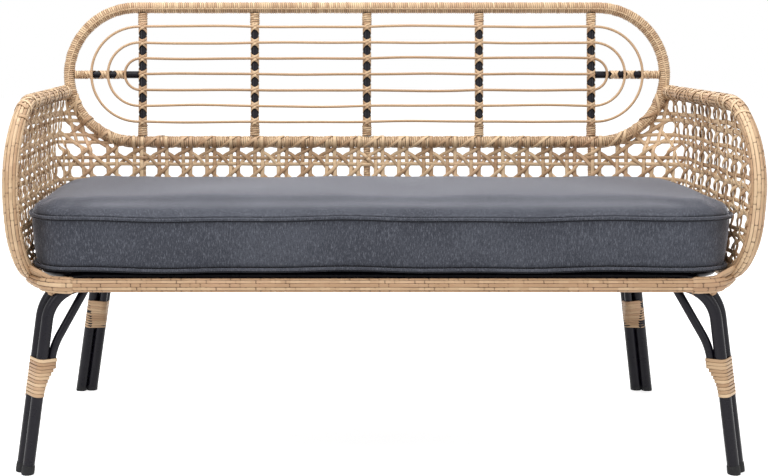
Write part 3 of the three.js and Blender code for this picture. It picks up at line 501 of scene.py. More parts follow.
# Finishes
class Wire:
    """A socket on which shader maths is written as Python expressions."""

    def __init__(self, finish, socket):
        self.finish, self.socket = finish, socket

    def _math(self, operation, first, second=0.0):
        return self.finish.node("Math", {"operation": operation}, {0: first, 1: second})

    def __add__(self, other):
        return self._math("ADD", self, other)

    __radd__ = __add__

    def __sub__(self, other):
        return self._math("SUBTRACT", self, other)

    def __rsub__(self, other):
        return self._math("SUBTRACT", other, self)

    def __mul__(self, other):
        return self._math("MULTIPLY", self, other)

    __rmul__ = __mul__

    def sine(self):
        return self._math("SINE", self)

    def spread(self, low, high, to_low=0.0, to_high=1.0):
        """The value's range low to high, smoothly spread from to_low to to_high."""
        return self.finish.node("MapRange", {"interpolation_type": "SMOOTHSTEP"},
                                {0: self, 1: low, 2: high, 3: to_low, 4: to_high})


class Finish:
    """A material or world being made, with one method that adds nodes."""

    def __init__(self, name, world=False, **shader):
        self.material = (bpy.data.worlds if world else bpy.data.materials).new(name)
        self.material.use_nodes = True
        self.tree = self.material.node_tree
        self.shader = self.tree.nodes["Background" if world else "Principled BSDF"]
        for socket, value in shader.items():
            self.shader.inputs[socket.replace("_", " ")].default_value = value

    def node(self, kind, settings=None, sockets=None, output=0):
        made = self.tree.nodes.new("ShaderNode" + kind)
        for key, value in (settings or {}).items():
            setattr(made, key, value)
        for key, value in (sockets or {}).items():
            if isinstance(value, Wire):
                self.tree.links.new(value.socket, made.inputs[key])
            else:
                made.inputs[key].default_value = value
        return Wire(self, made.outputs[output])

    def drive(self, socket, wire):
        self.tree.links.new(wire.socket, self.shader.inputs[socket])

    def mix(self, share, low, high):
        return self.node("Mix", {"data_type": "RGBA"}, {0: share, 6: paint(low), 7: paint(high)}, output=2)

    def kept(self, name, vector=False):
        return self.node("Attribute", {"attribute_name": name}, output=1 if vector else 2)

    def place(self):
        return self.node("TexCoord", output=3)

    def seen(self):
        """1 where a ray shows the surface itself, straight, in gloss or through glass."""
        straight, gloss, through = (self.node("LightPath", output=f"Is {ray} Ray")
                                    for ray in ("Camera", "Glossy", "Transmission"))
        return straight + gloss + through

    def stretched(self, vector, scale):
        return self.node("VectorMath", {"operation": "MULTIPLY"}, {0: vector, 1: scale})

    def noise(self, vector, scale, detail=2.0, roughness=0.5):
        return self.node("TexNoise", None, {"Vector": vector, "Scale": scale, "Detail": detail,
                                            "Roughness": roughness})

    def bump(self, height, strength, distance):
        self.drive("Normal", self.node("Bump", None, {"Height": height, "Strength": strength,
                                                      "Distance": distance}))


def paint(colour):
    return colour if isinstance(colour, Wire) else (*tuple(colour)[:3], 1.0)


def srgb(red, green, blue):
    """A colour as it shows on a screen, 0 to 255, in the shader's terms."""
    return tuple(c / 255 / 12.92 if c <= 10 else ((c / 255 + 0.055) / 1.055) ** 2.4
                 for c in (red, green, blue))


def strand_finish(name, low, high, shade_colour, streak):
    """Extruded strand: each strip has its own tone, fine streaks run along it and its edges get painted
    shade.
    """
    finish = Finish(name, Roughness=0.5, Specular_IOR_Level=0.4)
    tone, hollow, lay = finish.kept("tone"), finish.kept("hollow"), finish.kept("lay", vector=True)
    lines = finish.noise(finish.stretched(lay, (14.0, 900.0, 40.0)), 1.0, 2.0, 0.6)
    blotch = finish.noise(finish.place(), 9.0, 3.0, 0.6)
    grain = finish.noise(finish.stretched(lay, (60.0, 2600.0, 40.0)), 1.0, 1.0)
    colour = finish.mix((tone * 0.75 + lines * 0.45 - 0.12).spread(0.0, 1.0), low, high)
    colour = finish.mix(blotch.spread(0.5, 0.72, 0.0, 0.35), colour, streak)
    # Painted shade: grooves, strip edges and crossings darken towards the shade colour
    colour = finish.mix(hollow.spread(0.3, 1.0, 0.0, 0.92), colour, shade_colour)
    finish.drive("Base Color", colour)
    finish.drive("Roughness", lines * 0.16 + hollow * 0.25 + 0.38)
    finish.bump(grain * 0.5 + lines, 0.25, 0.0003)
    return finish.material


def steel_finish(name, colour, edge):
    """Powder coat: near black with a faint orange peel and a little dust."""
    finish = Finish(name, Specular_IOR_Level=0.2)
    place = finish.place()
    peel = finish.noise(place, 900.0, 2.0)
    dust = finish.noise(place, 24.0, 4.0, 0.6)
    finish.drive("Base Color", finish.mix(dust.spread(0.5, 0.8, 0.0, 0.4), colour, edge))
    finish.drive("Roughness", dust * 0.12 + 0.22)
    finish.bump(peel, 0.12, 0.0002)
    return finish.material


def rubber_finish(name, colour, worn):
    """Dark rubber with paler scuffs."""
    finish = Finish(name, Specular_IOR_Level=0.35)
    place = finish.place()
    scuff = finish.noise(place, 160.0, 4.0, 0.7)
    finish.drive("Base Color", finish.mix(scuff.spread(0.5, 0.75, 0.0, 0.6), colour, worn))
    finish.drive("Roughness", scuff * 0.2 + 0.62)
    finish.bump(scuff, 0.2, 0.0004)
    return finish.material


def strap_finish(name, low, high):
    """Flat woven seat straps with ribs along them."""
    finish = Finish(name, Roughness=0.8, Specular_IOR_Level=0.25)
    lay = finish.kept("lay", vector=True)
    ribs = finish.node("TexWave", {"bands_direction": "Y"}, {"Vector": lay, "Scale": 90.0}, output=1)
    fluff = finish.noise(finish.place(), 420.0, 3.0, 0.7)
    finish.drive("Base Color", finish.mix((ribs * 0.5 + fluff * 0.5).spread(0.2, 0.8), low, high))
    finish.bump(ribs + fluff * 0.4, 0.5, 0.0006)
    return finish.material


def cloth_finish(name, low, high, fleck, thread):
    """Woven outdoor cloth in mixed yarns: upright flecks of paler yarn among dark ones, a plain weave and
    painted shade where a seam draws the cloth in."""
    finish = Finish(name, Specular_IOR_Level=0.15, Sheen_Weight=1.0, Sheen_Roughness=0.27)
    finish.shader.inputs["Sheen Tint"].default_value = (*srgb(228, 229, 240), 1.0)
    place, hollow = finish.place(), finish.kept("hollow")
    long_yarn = finish.noise(finish.stretched(place, (480.0, 300.0, 130.0)), 1.0, 2.0, 0.7)
    short_yarn = finish.noise(finish.stretched(place, (820.0, 620.0, 420.0)), 1.0, 2.0, 0.7)
    cloud = finish.noise(place, 6.0, 3.0, 0.6)
    x, y, z = (finish.node("SeparateXYZ", None, {0: place}, output=axis) for axis in range(3))
    weft = ((x + y * 0.35) * (FULL_TURN / thread)).sine()
    warp = ((y + z) * (FULL_TURN / thread)).sine()
    weave = weft * warp * 0.5 + 0.5
    yarn = (long_yarn + short_yarn) * 0.5
    colour = finish.mix((yarn * 0.8 + cloud * 0.25 - 0.02).spread(0.38, 0.62), low, high)
    colour = finish.mix(long_yarn.spread(0.56, 0.68, 0.0, 0.45), colour, fleck)
    colour = finish.mix(weave.spread(0.0, 0.35, 0.22, 0.0), colour, low)
    # Painted shade at the seams: the cloth darkens towards a quarter of its dark yarn
    colour = finish.mix(hollow.spread(0.1, 0.9, 0.0, 0.9), colour, [channel * 0.25 for channel in low])
    finish.drive("Base Color", colour)
    finish.drive("Roughness", yarn * 0.15 + 0.82)
    finish.bump(weave * 0.6 + yarn, 0.45, 0.0007)
    return finish.material


def finishes():
    """The bench's finishes, made once from the colours that are set."""
    colours = bpy.context.scene.bench_colours
    if "strand" not in bpy.data.materials:
        strand_finish("strand", colours.strand_low, colours.strand_high, colours.strand_painted_shade,
                      colours.strand_streak)
        steel_finish("powder_coat", colours.steel, srgb(44, 42, 48))
        rubber_finish("cup_rubber", srgb(24, 24, 26), srgb(52, 51, 52))
        strap_finish("seat_strap", srgb(34, 30, 28), srgb(62, 54, 50))
        cloth_finish("mixed_cloth", colours.cloth_low, colours.cloth_high, colours.cloth_fleck, 0.0016)
    return bpy.data.materials


# The open cane shell
# Steps from column to column and row to row, where the flat back ends, how many columns go round the corner,
# the height at which rows start, and how much higher they lie on the arms
COLUMN, BACK_EDGE, CORNER_COLUMNS = 53.3, 505.3, 4.8
BACK_COLUMNS = BACK_EDGE / COLUMN
ROW_START, ROW, ARM_LIFT, ARM_ROW_LIFT = 511.0, 45.5, 7.0, 2.5
# How far from the centre lines of the shell's tubes and of the back frame strips end, and the last column
HOOP_MARGIN, FRAME_MARGIN, LAST_COLUMN = 9, 8, 22.5
# Rows that uprights and slanted strips run between
UPRIGHT_ROWS, SLANTED_ROWS = (-2.9, 4.2), (-3, 4.3)
# How far level and upright strips dive as a share of the weave's depth, how far strips wander in columns and
# rows and how much more on the arms, how much deeper and wider the arms' strips are, and how widths vary
DIVE, WANDER, ARM_WANDER, ARM_DEPTH, ARM_WIDENING, WIDTH_VARIES = 0.42, 0.012, 0.028, 0.7, 0.16, 0.07
# How far strips bulge round a post, and how far to its sides
POST_BULGE, POST_REACH = 9.5, 13
# Slanted strips of the back are drawn up round one height: how far, where and how spread, in rows
DRAWN_UP, DRAWN_UP_AT, DRAWN_UP_SPREAD = 0.17, 0.55, 0.32


def corner_edge(z):
    """How far from the middle the shell's flat back ends at a height."""
    up = (z - BACK_Z) / math.cos(RECLINE)
    reach = HALF_RISE + touching(BACK_TUBE, 4)
    round_end = END_CENTRE + np.sqrt(np.clip(reach ** 2 - up ** 2, 0, None))
    return np.maximum(BACK_EDGE, np.where(up > -reach, round_end, 0))


def row_height(column, row):
    share = np.clip((column - BACK_COLUMNS) / CORNER_COLUMNS, 0, 1)
    share = share * share * (3 - 2 * share)
    return ROW_START + ROW * row + share * (ARM_LIFT + ARM_ROW_LIFT * row)


def shell(side, column, row):
    """Point of the woven shell and its outward direction. Columns are counted from the back's middle
    round the corner and forward along the arm, rows up from the third row of holes."""
    z = row_height(column, row)
    radius = np.maximum(4, np.minimum(SHELL_CORNER, arm_x(z) - corner_edge(z)))
    straight = back_y(z) - radius - ARM_END
    full = straight + radius * math.pi / 2 + arm_x(z) - radius - BACK_EDGE
    past = column - BACK_COLUMNS
    along = np.where(past < 0, full - past * COLUMN, np.where(
        past < CORNER_COLUMNS, full * (1 - past / CORNER_COLUMNS), -(past - CORNER_COLUMNS) * COLUMN))
    turn = np.clip((along - straight) / radius, 0, math.pi / 2)
    before = np.minimum(along - straight, 0)
    beyond = np.maximum(along - straight - radius * math.pi / 2, 0)
    x = arm_x(z) - radius + radius * np.cos(turn) - beyond
    y = back_y(z) - radius + radius * np.sin(turn) + before
    out = np.stack([side * np.cos(turn), np.sin(turn), np.zeros_like(turn)], axis=-1)
    return np.stack([side * x, y, z], axis=-1), out


def within_shell(points):
    """Which points lie in the opening that the shell's tubes leave, with a little for the ends."""
    x, y, z = np.abs(points[..., 0]), points[..., 1], points[..., 2]
    up = (z - BACK_Z) / math.cos(RECLINE)
    from_frame = np.hypot(np.maximum(x - END_CENTRE, 0), up)
    clear = (z > SHELL_RAIL + HOOP_MARGIN) & (z < ARM_TOP - HOOP_MARGIN)
    clear &= from_frame > HALF_RISE + FRAME_MARGIN
    for bend, centre in ((ARM_TOP_BEND, ARM_TOP - ARM_TOP_BEND),
                         (ARM_BOTTOM_BEND, SHELL_RAIL + ARM_BOTTOM_BEND)):
        rise = np.maximum(z - centre, 0) if bend == ARM_TOP_BEND else np.minimum(z - centre, 0)
        front = HOOP_FRONT + bend - np.sqrt(np.clip((bend - HOOP_MARGIN) ** 2 - rise ** 2, 0, None))
        clear &= y > front
    return clear


def pair_wave(share, apart):
    """+1 at one strip of a pair and -1 at the other, fading to nothing between pairs."""
    share = share - np.round(share)
    return np.where(np.abs(share) < 2 * apart, np.sin(math.pi * share / (2 * apart)), 0)


def shell_strips(side, sizes, rng):
    """Yields (points, outs, width, passes over the front) of each strip of one half of the shell. The
    strips wander a little, more on the arms, as hand-woven cane does."""
    half_v, half_h = mm(sizes.pair_gap_upright) / COLUMN, mm(sizes.pair_gap_level) / ROW
    lift, dive = mm(sizes.weave_depth), mm(sizes.weave_depth) * DIVE
    post_columns = np.array([0, END_BAR]) / COLUMN
    columns = np.arange(0, 24) + 0.5
    fine = np.arange(*UPRIGHT_ROWS, 0.11)

    def strip(column, row, out, width, front):
        on_arm = np.clip((column - BACK_COLUMNS - 1) / CORNER_COLUMNS, 0, 1)
        sway, heave, phase = rng.uniform(-1, 1), rng.uniform(-1, 1), rng.uniform(0, 9)
        loose = WANDER + ARM_WANDER * on_arm
        column = column + loose * (sway + np.sin(row * 2.1 + phase))
        row = row + loose * (heave + np.sin(column * 1.7 + phase))
        points, outs = shell(side, column, row)
        bulge = sum(np.exp(-((column - post) * COLUMN / POST_REACH) ** 2) for post in post_columns)
        at_posts = np.where(column < BACK_COLUMNS + 0.6, bulge, 0) * POST_BULGE
        laid = points + outs * (out * (1 + ARM_DEPTH * on_arm) - at_posts)[:, None]
        widths = width * (1 + ARM_WIDENING * on_arm + WIDTH_VARIES * rng.uniform(-1, 1))
        clear = within_shell(points)
        edges = np.flatnonzero(np.diff(np.concatenate([[0], clear.astype(int), [0]])))
        for begin, finish in zip(edges[::2], edges[1::2]):
            if finish - begin > 4:
                yield laid[begin:finish], outs[begin:finish], widths[begin:finish], front

    for middle in columns:
        for sign in (-1, 1):
            column = np.full(len(fine), middle + sign * half_v)
            yield from strip(column, fine, -dive * sign * pair_wave(fine - 0.5, half_h),
                             mm(sizes.upright_width), True)
    level = np.arange(0, LAST_COLUMN, 0.1)
    for middle in np.arange(-3, 4) + 0.5:
        for sign in (-1, 1):
            row = np.full(len(level), middle + sign * half_h)
            yield from strip(level, row, dive * sign * pair_wave(level - 0.5, half_v),
                             mm(sizes.level_width), False)
    for family in (1, -1):
        for number in np.arange(-8, 27) + 0.5:
            column = np.arange(0, LAST_COLUMN, 0.08)
            row = family * (column - number)
            keep = (row > SLANTED_ROWS[0]) & (row < SLANTED_ROWS[1])
            if keep.sum() > 5:
                column, row = column[keep], row[keep]
                drawn_up = DRAWN_UP * np.exp(-((row - DRAWN_UP_AT) / DRAWN_UP_SPREAD) ** 2)
                row = row + drawn_up * (1 - np.clip(column - BACK_COLUMNS, 0, 1))
                yield from strip(column, row, side * family * lift * np.cos(FULL_TURN * column),
                                 mm(sizes.slant_width), family * side > 0)


# Ties: how steep they are at most, how many radians they start before the strip's end, and their thickness
STEEPEST_TIE, TIE_OVERLAP, TIE_THICKNESS = 0.8, 0.25, 1.3
# How many radians a tie goes round the back frame, a hoop and the bottom rail, and round a hoop's top
TIE_SPANS, TOP_TIE_SPAN = (2.7, 1.0, 1.1), 3.6
# Ends further than this from every tube's surface get no tie
TIE_REACH = 9


def tie(bundle, line, radius, end, course, front, span, width, tone, number):
    """Carries a strip's end on round the tube that it meets, over its front or behind it."""
    nearest = int(np.argmin(np.linalg.norm(line.centres - end, axis=1)))
    centre, first, second, along = (values[nearest] for values in (line.centres, line.first, line.second,
                                                                   line.along))
    away = end - centre
    start = math.atan2(away @ second, away @ first)
    way = -math.copysign(1, start) if front else math.copysign(1, start)
    lean = float(np.clip(course @ along, -STEEPEST_TIE, STEEPEST_TIE))
    slope = lean / math.sqrt(1 - lean * lean)
    band(bundle, line, line.marks[nearest], radius, start - way * TIE_OVERLAP, start + way * span, slope,
         width, TIE_THICKNESS, tone, number)


def mm(metres):
    return metres * METRE


# Settings
def length(title, note, value):
    return bpy.props.FloatProperty(name=title, description=note, default=value, min=0.0, max=0.2,
                                   unit="LENGTH", precision=5)


def colour(title, note, value):
    return bpy.props.FloatVectorProperty(name=title, description=note, default=value, size=3, min=0, max=1,
                                         subtype="COLOR")


class BenchSizes(bpy.types.PropertyGroup):
    """Sizes of the strips and windings."""
    wind_pitch: length("Winding pitch", "Distance from turn to turn on the back frame", 0.0047)
    wind_rise: length("Winding rise", "How far a wound strip stands off its tube", 0.0014)
    float_length: length("Float", "Length of one lengthwise strip between two crossings on the arms", 0.0145)
    plait_rise: length("Plait rise", "How far a lengthwise strip stands off its tube", 0.0013)
    upright_width: length("Upright strips", "Width of the upright strips of the open cane", 0.0084)
    level_width: length("Level strips", "Width of the level strips of the open cane", 0.0078)
    slant_width: length("Slanted strips", "Width of the slanted strips of the open cane", 0.0079)
    strip_thickness: length("Strip thickness", "Thickness of the open cane's strips", 0.0019)
    pair_gap_upright: length("Upright pair", "Half the distance between a pair of upright strips", 0.0084)
    pair_gap_level: length("Level pair", "Half the distance between a pair of level strips", 0.0066)
    weave_depth: length("Weave depth", "How far slanted strips pass over and under", 0.0027)
    cane_bow: length("Cane bow", "How far the thin canes bow between two bars", 0.0024)
    lashing_width: length("Lashing", "Width of one lashing strip", 0.0054)
    binding_width: length("Binding", "Width of the strip wound round the legs", 0.0068)


class CushionSizes(bpy.types.PropertyGroup):
    """Shape of the cushion."""
    piping: length("Piping", "Radius of the piped seams", 0.0029)
    start_smaller: length("Start smaller", "How far inside its case the filling starts to swell", 0.003)
    most_swell: length("Most swell", "How far any point may swell", 0.006)
    voxel: length("Voxel", "Mesh size of the swelling cushion", 0.006)


class BenchColours(bpy.types.PropertyGroup):
    """Colours of the finishes."""
    strand_low: colour("Strand, dark", "Darker tone of the strands", srgb(178, 142, 108))
    strand_high: colour("Strand, light", "Lighter tone of the strands", srgb(230, 200, 162))
    # The grooves' colour is painted shade, which strands darken towards between and under each other
    strand_painted_shade: colour("Strand, grooves", "Colour between and under the strands", srgb(70, 46, 32))
    strand_streak: colour("Strand, streaks", "Rosy tone in patches of the strands", srgb(206, 164, 134))
    steel: colour("Steel", "Powder coat of the frame", srgb(21, 19, 27))
    cloth_low: colour("Cloth, dark", "Dark yarn of the cushion", srgb(60, 62, 70))
    cloth_high: colour("Cloth, light", "Light yarn of the cushion", srgb(88, 91, 100))
    cloth_fleck: colour("Cloth, flecks", "Palest yarn of the cushion", srgb(122, 125, 134))
    ground: colour("Ground", "Pale floor", srgb(246, 246, 246))


# Pieces
class BENCH_OT_stage(bpy.types.Operator):
    """Sets the camera, a pale floor and plain soft lamps"""
    bl_idname = "bench.stage"
    bl_label = "Stage"

    def execute(self, context):
        scene = context.scene
        scene.view_settings.view_transform = "Standard"
        lens = bpy.data.cameras.new("camera")
        lens.lens, lens.sensor_width = FOCAL_PIXELS / IMAGE_WIDTH * SENSOR, SENSOR
        lens.shift_x = (IMAGE_WIDTH / 2 - CENTRE_PIXEL) / IMAGE_WIDTH
        lens.clip_start, lens.clip_end = 0.1, 60
        camera = bpy.data.objects.new("camera", lens)
        camera.location = CAMERA_PLACE
        camera.rotation_euler = (math.radians(90 - CAMERA_TILT), 0, 0)
        scene.collection.objects.link(camera)
        scene.camera = camera

        studio = Finish("studio", world=True, Color=(1, 1, 1, 1))
        studio.drive("Strength", studio.seen().spread(0, 1, WORLD_LEVEL, 1.0))
        scene.world = studio.material

        for name, place, size, power in LAMPS:
            lamp = bpy.data.lights.new(name, "AREA")
            lamp.shape, lamp.size, lamp.energy = "DISK", size, power
            thing = bpy.data.objects.new(name, lamp)
            thing.location = place
            aim = Vector((0, 0, 0.45)) - thing.location
            thing.rotation_euler = aim.to_track_quat("-Z", "Y").to_euler()
            scene.collection.objects.link(thing)

        finish = Finish("floor", Roughness=0.9, Specular_IOR_Level=0.1)
        grain = finish.noise(finish.place(), 40.0, 3.0)
        pale = context.scene.bench_colours.ground
        finish.drive("Base Color", finish.mix(grain * 0.3, pale, [c * 0.985 for c in pale]))
        seen = finish.seen() * FLOOR_GLOW
        glow = finish.node("Emission", None, {0: (1, 1, 1, 1), 1: seen})
        both = finish.node("AddShader", None, {0: Wire(finish, finish.shader.outputs[0]), 1: glow})
        out = finish.tree.nodes["Material Output"]
        finish.tree.links.new(both.socket, out.inputs[0])
        mesh = bpy.data.meshes.new("floor")
        mesh.from_pydata([(-9, -6, 0), (9, -6, 0), (9, 14, 0), (-9, 14, 0)], [], [(0, 1, 2, 3)])
        mesh.materials.append(finish.material)
        floor = bpy.data.objects.new("floor", mesh)
        scene.collection.objects.link(floor)
        return {"FINISHED"}


class BENCH_OT_steel(bpy.types.Operator):
    """Makes the leg arches, braces, seat frame, bars and stubs of round powder-coated tube"""
    bl_idname = "bench.steel"
    bl_label = "Steel tubes"

    def execute(self, context):
        coat = finishes()["powder_coat"]

        def make(name, radius, *lines):
            made = Bundle()
            for line in lines:
                tube(made, line, radius, 28)
            made.piece(name + "_tube", coat, "steel_tube", [name])

        for title, legs in LEG_PAIRS:
            for nested, place in NESTED:
                make(f"{title}_leg_arch_{place}", LEG_TUBE / 2 + COATING * (2 if title == "rear" else 1),
                     arch_line(legs, nested))
            for side, name in SIDES:
                line = brace_line(legs, side)
                made = Bundle()
                tube(made, line, BRACE_TUBE / 2, 24, start=BRACE_HIDDEN, end=line.length - BRACE_SHORT)
                made.piece(f"{title}_{name}_brace_tube", coat, "steel_tube", [f"{title}_{name}_brace"])
        corners = [((SEAT_SIDE, SEAT_FRONT, SEAT_HEIGHT), SEAT_BEND),
                   ((SEAT_SIDE, SEAT_REAR, SEAT_HEIGHT), SHELL_CORNER - (RAIL_Y - SEAT_REAR)),
                   ((-SEAT_SIDE, SEAT_REAR, SEAT_HEIGHT), SHELL_CORNER - (RAIL_Y - SEAT_REAR)),
                   ((-SEAT_SIDE, SEAT_FRONT, SEAT_HEIGHT), SEAT_BEND)]
        middle = ((0, SEAT_FRONT, SEAT_HEIGHT), 0)
        loop = Line(rounded([middle, *corners, middle])[:-1], UPRIGHT, closed=True)
        cross = [Line([(x, SEAT_FRONT, SEAT_HEIGHT), (x, SEAT_REAR, SEAT_HEIGHT)], UPRIGHT)
                 for x in CROSS_TUBES]
        make("seat_frame", SEAT_TUBE / 2, loop, *cross)
        for bar in range(BARS):
            make(f"back_bar_{bar + 1}", BAR_TUBE / 2, bar_line(bar))
        for side, name in SIDES:
            make(f"{name}_back_stub", BAR_TUBE / 2, stub_line(side))
        return {"FINISHED"}


def bar_line(bar):
    """Centre line of one of the upright bars, counted from the left."""
    x = (bar - BARS // 2) * BAR_SPACING
    return Line(on_back([x, x], [-BAR_HALF, BAR_HALF]), BACK_OUT)


def stub_line(side):
    ends = np.array([END_BAR + BAR_TUBE / 2 + CLEARANCE, END_CENTRE + HALF_RISE - BACK_TUBE / 2])
    return Line(on_back(side * ends, 0.0), BACK_OUT)


class BENCH_OT_feet(bpy.types.Operator):
    """Makes the rubber cups on the feet"""
    bl_idname = "bench.feet"
    bl_label = "Foot cups"

    def execute(self, context):
        outline = np.array(CUP_OUTLINE)
        turns = np.arange(32) / 32 * FULL_TURN
        for title, legs in LEG_PAIRS:
            for side, name in SIDES:
                for nested, place in NESTED:
                    foot, top = (leg_at(legs, nested, z) * (side, 1, 1) for z in (0, CAP_HEIGHT))
                    line = Line([foot - (top - foot), foot, top], ACROSS, spacing=0.5)
                    zero = line.length / 2
                    reach = outline[:, :1] * CAP_DIAMETER / 2
                    points, _ = line.skin(zero + outline[:, 1:], turns[None], reach)
                    points[..., 2] = np.maximum(points[..., 2], 0.0)
                    made = Bundle()
                    made.grid(points)
                    node = f"{title}_{name}_foot_cap_{place}"
                    made.piece(node + "_rubber", finishes()["cup_rubber"], "foot_rubber", [node])
        return {"FINISHED"}


class BENCH_OT_back_frame(bpy.types.Operator):
    """Winds the back frame, its posts and the shell's bottom rail"""
    bl_idname = "bench.back_frame"
    bl_label = "Wound back frame"

    def execute(self, context):
        sizes, strand = context.scene.bench_sizes, finishes()["strand"]
        rng = np.random.default_rng(11)
        made = Bundle()
        rise = mm(sizes.wind_rise)
        wind(made, FRAME_LINE, BACK_TUBE / 2 - rise, mm(sizes.wind_pitch), rise, rng)
        places = np.arange(0, FRAME_LINE.length, mm(sizes.wind_pitch) / 2)
        weave = BACK_TUBE / 2 - 0.2 + 0.55 * np.where(np.arange(len(places)) // 2 % 2, 1, -1)
        points, outs = FRAME_LINE.skin(places, lower_front(places), weave)
        ribbon(made, points, outs, 3.2, 0.9, 0.75, 3)
        made.piece("back_frame_winding", strand, "wrapped_tube", ["back_frame"])

        made = Bundle()
        wind(made, shell_rail_line(), ARM_TUBE / 2 - rise, WOUND_RAIL_PITCH, rise, rng)
        made.piece("back_bottom_rail_winding", strand, "wrapped_tube", ["back_bottom_rail"])
        rail_up = (SHELL_RAIL - BACK_Z) / math.cos(RECLINE)
        for x, name in ((-END_BAR, "left"), (0, "middle"), (END_BAR, "right")):
            ends = [rail_up + touching(ARM_TUBE, 0), -HALF_RISE - touching(BACK_TUBE, 0)]
            made = Bundle()
            wind(made, Line(on_back([x, x], ends), BACK_OUT), POST_TUBE / 2 - 1.3, WOUND_POST_PITCH,
                 1.1, rng)
            made.piece(f"{name}_back_post_winding", strand, "wrapped_tube", [f"{name}_back_post"])
        return {"FINISHED"}


def lower_front(places):
    """Turn about the back frame's tube that faces the seat and a little down, wherever the tube runs, but
    up on its bottom straight, where the cane's ends pass below."""
    centre, _, second, _ = FRAME_LINE.at(places)
    up = 1.15 * np.clip((BACK_Z - HALF_RISE + 9 - centre[:, 2]) / 8, 0, 1)
    return (up - 0.35 * (up == 0)) * np.sign(second[:, 2] + 1e-9) * np.abs(second[:, 2]) ** 0.5


class BENCH_OT_lashings(bpy.types.Operator):
    """Lashes the thin canes to the bars and stubs with crossed strips"""
    bl_idname = "bench.lashings"
    bl_label = "Lashings"

    def execute(self, context):
        sizes, strand = context.scene.bench_sizes, finishes()["strand"]
        rng = np.random.default_rng(23)
        lashed = CANE_LOOPS * CANE_SPACING
        for bar in range(BARS):
            line = bar_line(bar)
            made = Bundle()
            self.cross(made, line, BAR_HALF, lashed, mm(sizes.lashing_width), rng)
            for start, end in ((0, BAR_HALF - lashed - 6), (BAR_HALF + lashed + 6, line.length)):
                wind(made, line, BAR_TUBE / 2 + 1.3, WOUND_BAR_PITCH, 1.6, rng, start, end)
            made.piece(f"bar_{bar + 1}_lashing", strand, "cane", [])
        for side, name in SIDES:
            line = stub_line(side)
            made = Bundle()
            centre = END_CENTRE + 2 * CANE_SPACING - END_BAR - BAR_TUBE / 2 - CLEARANCE
            self.cross(made, line, centre, CANE_SPACING, mm(sizes.lashing_width), rng)
            wind(made, line, BAR_TUBE / 2 + 0.1, WOUND_BAR_PITCH, 1.3, rng, centre + CANE_SPACING + 7,
                 line.length)
            made.piece(f"{name}_stub_lashing", strand, "cane", [])
        return {"FINISHED"}

    def cross(self, made, line, middle, reach, width, rng):
        """Two pairs of strips that wind opposite ways and cross over every cane."""
        ends = reach + 7.5
        places = np.linspace(-ends, ends, round(ends * 2 / 1.5))
        for way in (-1, 1):
            for pair in (-1, 1):
                turn = way * FULL_TURN * (places - pair * width * 0.62) / CANE_SPACING
                front = np.abs((turn + math.pi) % FULL_TURN - math.pi)
                radius = BAR_TUBE / 2 + 0.8 + (4.9 + 0.55 * way) * np.exp(-(front / 0.62) ** 2)
                radius = radius + 0.7 * (way > 0) * (front > 2.4)
                points, outs = line.skin(middle + places, turn, radius)
                ribbon(made, points, outs, width, 1.3, rng.random(), rng.random() * 9)


class BENCH_OT_thin_canes(bpy.types.Operator):
    """Bends the thin canes of the back, which bow a little from bar to bar"""
    bl_idname = "bench.thin_canes"
    bl_label = "Thin canes"

    def execute(self, context):
        bow, strand = mm(context.scene.bench_sizes.cane_bow), finishes()["strand"]
        out = (BAR_TUBE + CANE_DIAMETER) / 2 + CLEARANCE
        rng = np.random.default_rng(5)
        for loop in range(1, CANE_LOOPS + 1):
            line = stadium(loop * CANE_SPACING, out, drawn=LOOPS_DRAWN[loop - 1])
            made = Bundle()
            self.cane(made, line, bow, rng)
            made.piece(f"cane_loop_{loop}_strand", strand, "cane", [f"cane_loop_{loop}"])
        end = END_BAR + BAR_TUBE / 2
        made = Bundle()
        self.cane(made, Line(on_back([-end, end], [0, 0], out), BACK_OUT), bow, rng)
        made.piece("cane_middle", strand, "cane", ["cane_middle_strand"])
        return {"FINISHED"}

    def cane(self, made, line, bow, rng):
        places = line.marks[:-1:4] if line.closed else line.marks[::4]
        centres, first, second, _ = line.at(places)
        x = centres[:, 0]
        wave = np.sin(math.pi * (x / BAR_SPACING - np.floor(x / BAR_SPACING)))
        share = rng.uniform(-1, 1, (2, 9))
        upper = (centres[:, 2] > BACK_Z).astype(int)
        gap = np.floor(x / BAR_SPACING).astype(int) + 4
        swell = np.where(np.abs(x) < END_BAR, bow * share[upper, np.clip(gap, 0, 8)] * wave, 0)
        swell = swell + 0.35 * np.sin(x / 31 + share[0, 0] * 9) * (np.abs(x) < END_BAR)
        centres = centres + swell[:, None] * BACK_UP
        turns = np.arange(12) / 12 * FULL_TURN
        ring = np.cos(turns)[None, :, None] * first[:, None] + np.sin(turns)[None, :, None] * second[:, None]
        points = centres[:, None] + ring * (CANE_DIAMETER / 2)
        lay = np.stack(np.broadcast_arrays(places[:, None], turns[None] * 2.5, rng.random() * 50), axis=-1)
        made.grid(points, rng.uniform(0.15, 0.5), 0.12, lay, closed=line.closed)


class BENCH_OT_arm_hoops(bpy.types.Operator):
    """Covers the arm hoops with lengthwise strips"""
    bl_idname = "bench.arm_hoops"
    bl_label = "Arm hoops"

    def execute(self, context):
        sizes, strand = context.scene.bench_sizes, finishes()["strand"]
        rng = np.random.default_rng(31)
        rise = mm(sizes.plait_rise)
        for side, name in SIDES:
            made = Bundle()
            plait(made, hoop_line(side), ARM_TUBE / 2 - rise, 12, mm(sizes.float_length), rise, rng)
            made.piece(f"{name}_arm_hoop_plait", strand, "wrapped_tube", [f"{name}_arm_hoop"])
        return {"FINISHED"}


